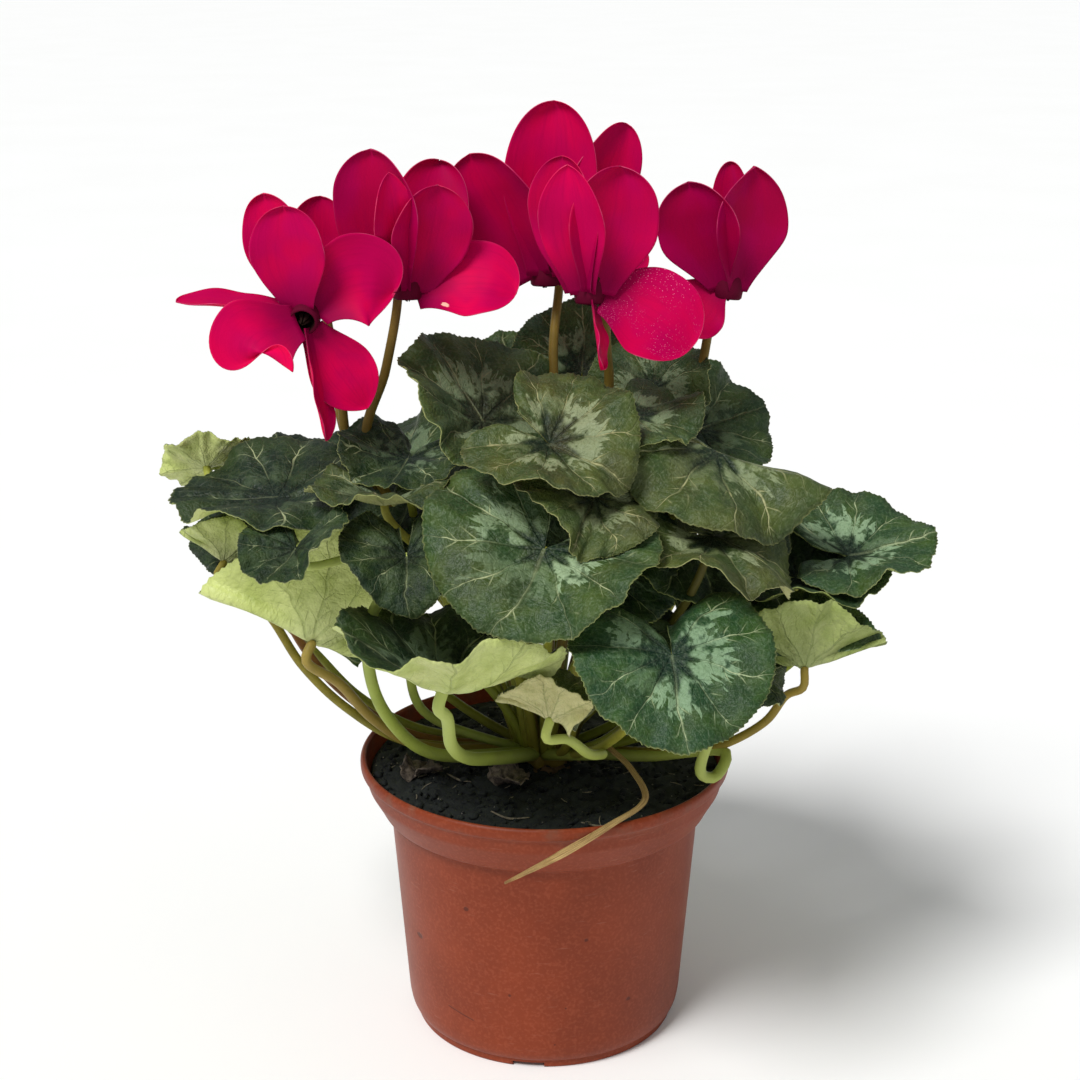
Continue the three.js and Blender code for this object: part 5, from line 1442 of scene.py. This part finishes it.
def make_threads(material):
    """Threads along THREADS, and short ones strewn about the plant's foot."""
    chance = draw_from(4711)
    lines = [(np.array(places, float), 0.4) for places in THREADS]
    for _ in range(SHORT_THREADS):
        radius = THREADS_INNER + THREADS_SPREAD * next(chance)
        turn = next(chance) * 2 * math.pi
        lean = next(chance) * 2 * math.pi
        middle = polar(radius, turn)
        step = polar(0.8 + 2.2 * next(chance), lean)
        sag = np.array([-step[1], step[0]]) * 0.12
        lines.append((np.array([middle - step, middle + sag, middle + step]), 0.2))
    mesh = Mesh()
    for places, thickness in lines:
        heights = soil_height(places[:, 0], places[:, 1]) + THREAD_LIFT
        line = catmull_rom(np.column_stack([places, heights]), 14)
        radii = thickness * np.interp(np.linspace(0, 1, len(line)), [0, 0.5, 1], [0.6, 1, 0.4])
        add_tube(mesh, line, radii, 6)
    mesh.piece("soil_threads", material)


def make_tuber(material):
    """The flattened round body under the crown, with a rough skin."""
    turn = np.linspace(0, math.pi, 25)
    profile = np.column_stack([TUBER_RADIUS * np.sin(turn),
                               TUBER_TOP - TUBER_HALF_HEIGHT - TUBER_HALF_HEIGHT * np.cos(turn)])
    profile[[0, -1], 0] = 0

    def rough(radius, height, turn):
        knobs = 0.35 * np.cos(11 * turn + height) + 0.25 * np.sin(23 * turn - 2 * height)
        return radius + knobs * (radius > 1), height

    mesh = Mesh()
    add_turned(mesh, profile, 90, rough)
    mesh.piece("corky_tuber", material, ["tuber"])


DRIED_STEM = [(22, -24, 111), (29, -36, 108.5), (33, -50, 104), (20.7, -62.3, 100.3),
              (4, -67.5, 92), (-13, -70.5, 84)]
STRAW_SIDES = 36
SCRAP_DIVISION = (48, 12)
SCRAP_HALF = 0.2
SCRAPS = [
    dict(name="withered_scrap_left", centre=(-44, -14), size=8, heading=60),
    dict(name="withered_scrap_front", centre=(-13, -24), size=8.5, heading=15),
]


def make_dried_stem(material):
    """An old stalk that leans over the rim, flattened and grooved."""
    line = catmull_rom(DRIED_STEM, 80)
    run = np.linspace(0, 1, len(line))
    radii = np.interp(run, [0, 0.3, 0.45, 0.75, 0.92, 1], [1.1, 1.05, 0.95, 1.5, 0.8, 0.5])
    around = np.concatenate([np.tile(np.cos(circle(STRAW_SIDES)), len(line)), [0, 0]])
    mesh = Mesh()
    add_tube(mesh, line, radii, STRAW_SIDES, {"around": around}, flatness=0.45, ridges=0.1,
             ridge_count=9)
    mesh.piece("straw_stem", material, ["dried_stem"])


def make_scraps(material):
    """Two crumpled, torn bits of leaf that rest on the soil."""
    angle, share = blade_grid(SCRAP_DIVISION)
    crumple = share * (0.5 * np.sin(angle * 0.16 + 4 * share) + 0.35 * np.sin(angle * 0.41 - 9 * share))
    tear = (np.sin(angle * 0.33) + np.sin(angle * 0.83 + 1)) / 2
    torn = share * (1 - 0.16 * smoothstep(0.7, 1, share) * tear)
    for row in SCRAPS:
        blade = leaf(row["name"], (*row["centre"], 0), row["heading"], 0, 0, row["size"],
                     waves=3, phase=40, cup=30, fold=(25, 20))
        samples = sheet_samples(blade_points(blade, *blade_grid(COARSE)))
        lift = (soil_height(samples[:, 0], samples[:, 1]) - samples[:, 2]).max()
        lift += BLADE_THICKNESS / 2 + 2 * CLEARANCE
        sheet = blade_points(blade, angle, torn, crumple, 0.1) + (0, 0, lift)
        mesh = Mesh()
        add_sheet(mesh, sheet, np.full(angle.shape, SCRAP_HALF), {}, pointed=True)
        mesh.piece(f"{row['name']}_crumpled", material, [row["name"]])


# Floor, light and camera, in metres and degrees; the sensor is in millimetres
FLOOR_HALF = 12.0
SKY_COLOUR = (0.96, 0.98, 1.0, 1.0)
SKY_STRENGTH = 0.36
CAMERA_PLACE = (-0.0016, -0.65, 0.39)
CAMERA_PITCH = 18.1
FOCAL_PIXELS = 2000
PHOTO_PIXELS = 1080
SENSOR = 36.0


def make_stage():
    """A pale floor."""
    g = Graph("pale_floor", 0.7)
    base = g.mix(g.noise(g.place(), 6), "fcfcfb", "f8f8f6")
    data = bpy.data.meshes.new("floor")
    corners = [(x * FLOOR_HALF, y * FLOOR_HALF, 0) for x, y in ((-1, -1), (1, -1), (1, 1), (-1, 1))]
    data.from_pydata(corners, [], [(0, 1, 2, 3)])
    data.materials.append(g.finish(base))
    linked("floor", data)


# Lamps: the side each shines from, seen from above with 0 at the camera's side, its height in
# degrees, its strength, and how wide the soft source is
LAMPS = [
    ("key", -38, 54, 2.9, 22),
    ("fill", 50, 35, 0.03, 60),
]


def make_light():
    """A pale sky and the lamps."""
    world = bpy.data.worlds.new("studio")
    world.use_nodes = True
    background = world.node_tree.nodes["Background"]
    background.inputs[0].default_value = SKY_COLOUR
    background.inputs[1].default_value = SKY_STRENGTH
    bpy.context.scene.world = world
    for name, azimuth, height, strength, spread in LAMPS:
        data = bpy.data.lights.new(name, "SUN")
        data.energy = strength
        data.angle = math.radians(spread)
        linked(name, data).rotation_euler = (math.radians(90 - height), 0, math.radians(azimuth))


def make_camera():
    """The camera, where the photo was taken from."""
    data = bpy.data.cameras.new("camera")
    data.sensor_width = SENSOR
    data.lens = SENSOR * FOCAL_PIXELS / PHOTO_PIXELS
    camera = linked("camera", data)
    camera.location = CAMERA_PLACE
    camera.rotation_euler = (math.radians(90 - CAMERA_PITCH), 0, 0)
    bpy.context.scene.camera = camera


def main():
    bpy.context.scene.view_settings.view_transform = "Standard"
    rows = [*back_leaves(), *SHOWN_LEAVES]
    coarse, fine = settled_blades(rows)
    make_leaves(rows, fine, leaf_material())
    make_blooms(petal_material(), throat_material())
    stalk_lines = make_stalks(stem_material("flower_stalk", "6a6224", "6f6a28", "5c4022"))
    leaf_stems = stem_material("leaf_stem", "66701f", "8a9832", "a2ab48")
    make_petioles(rows, coarse, fine, stalk_lines, leaf_stems)
    make_pot(pot_material())
    make_soil(soil_material())
    make_threads(bark_material("thread", "5a5144", "958b76", 700))
    make_tuber(bark_material("cork", "3b2b1e", "6b5138", 220))
    make_dried_stem(straw_material())
    make_scraps(bark_material("withered", "352e28", "85776a", 420))
    make_stage()
    make_light()
    make_camera()


main()
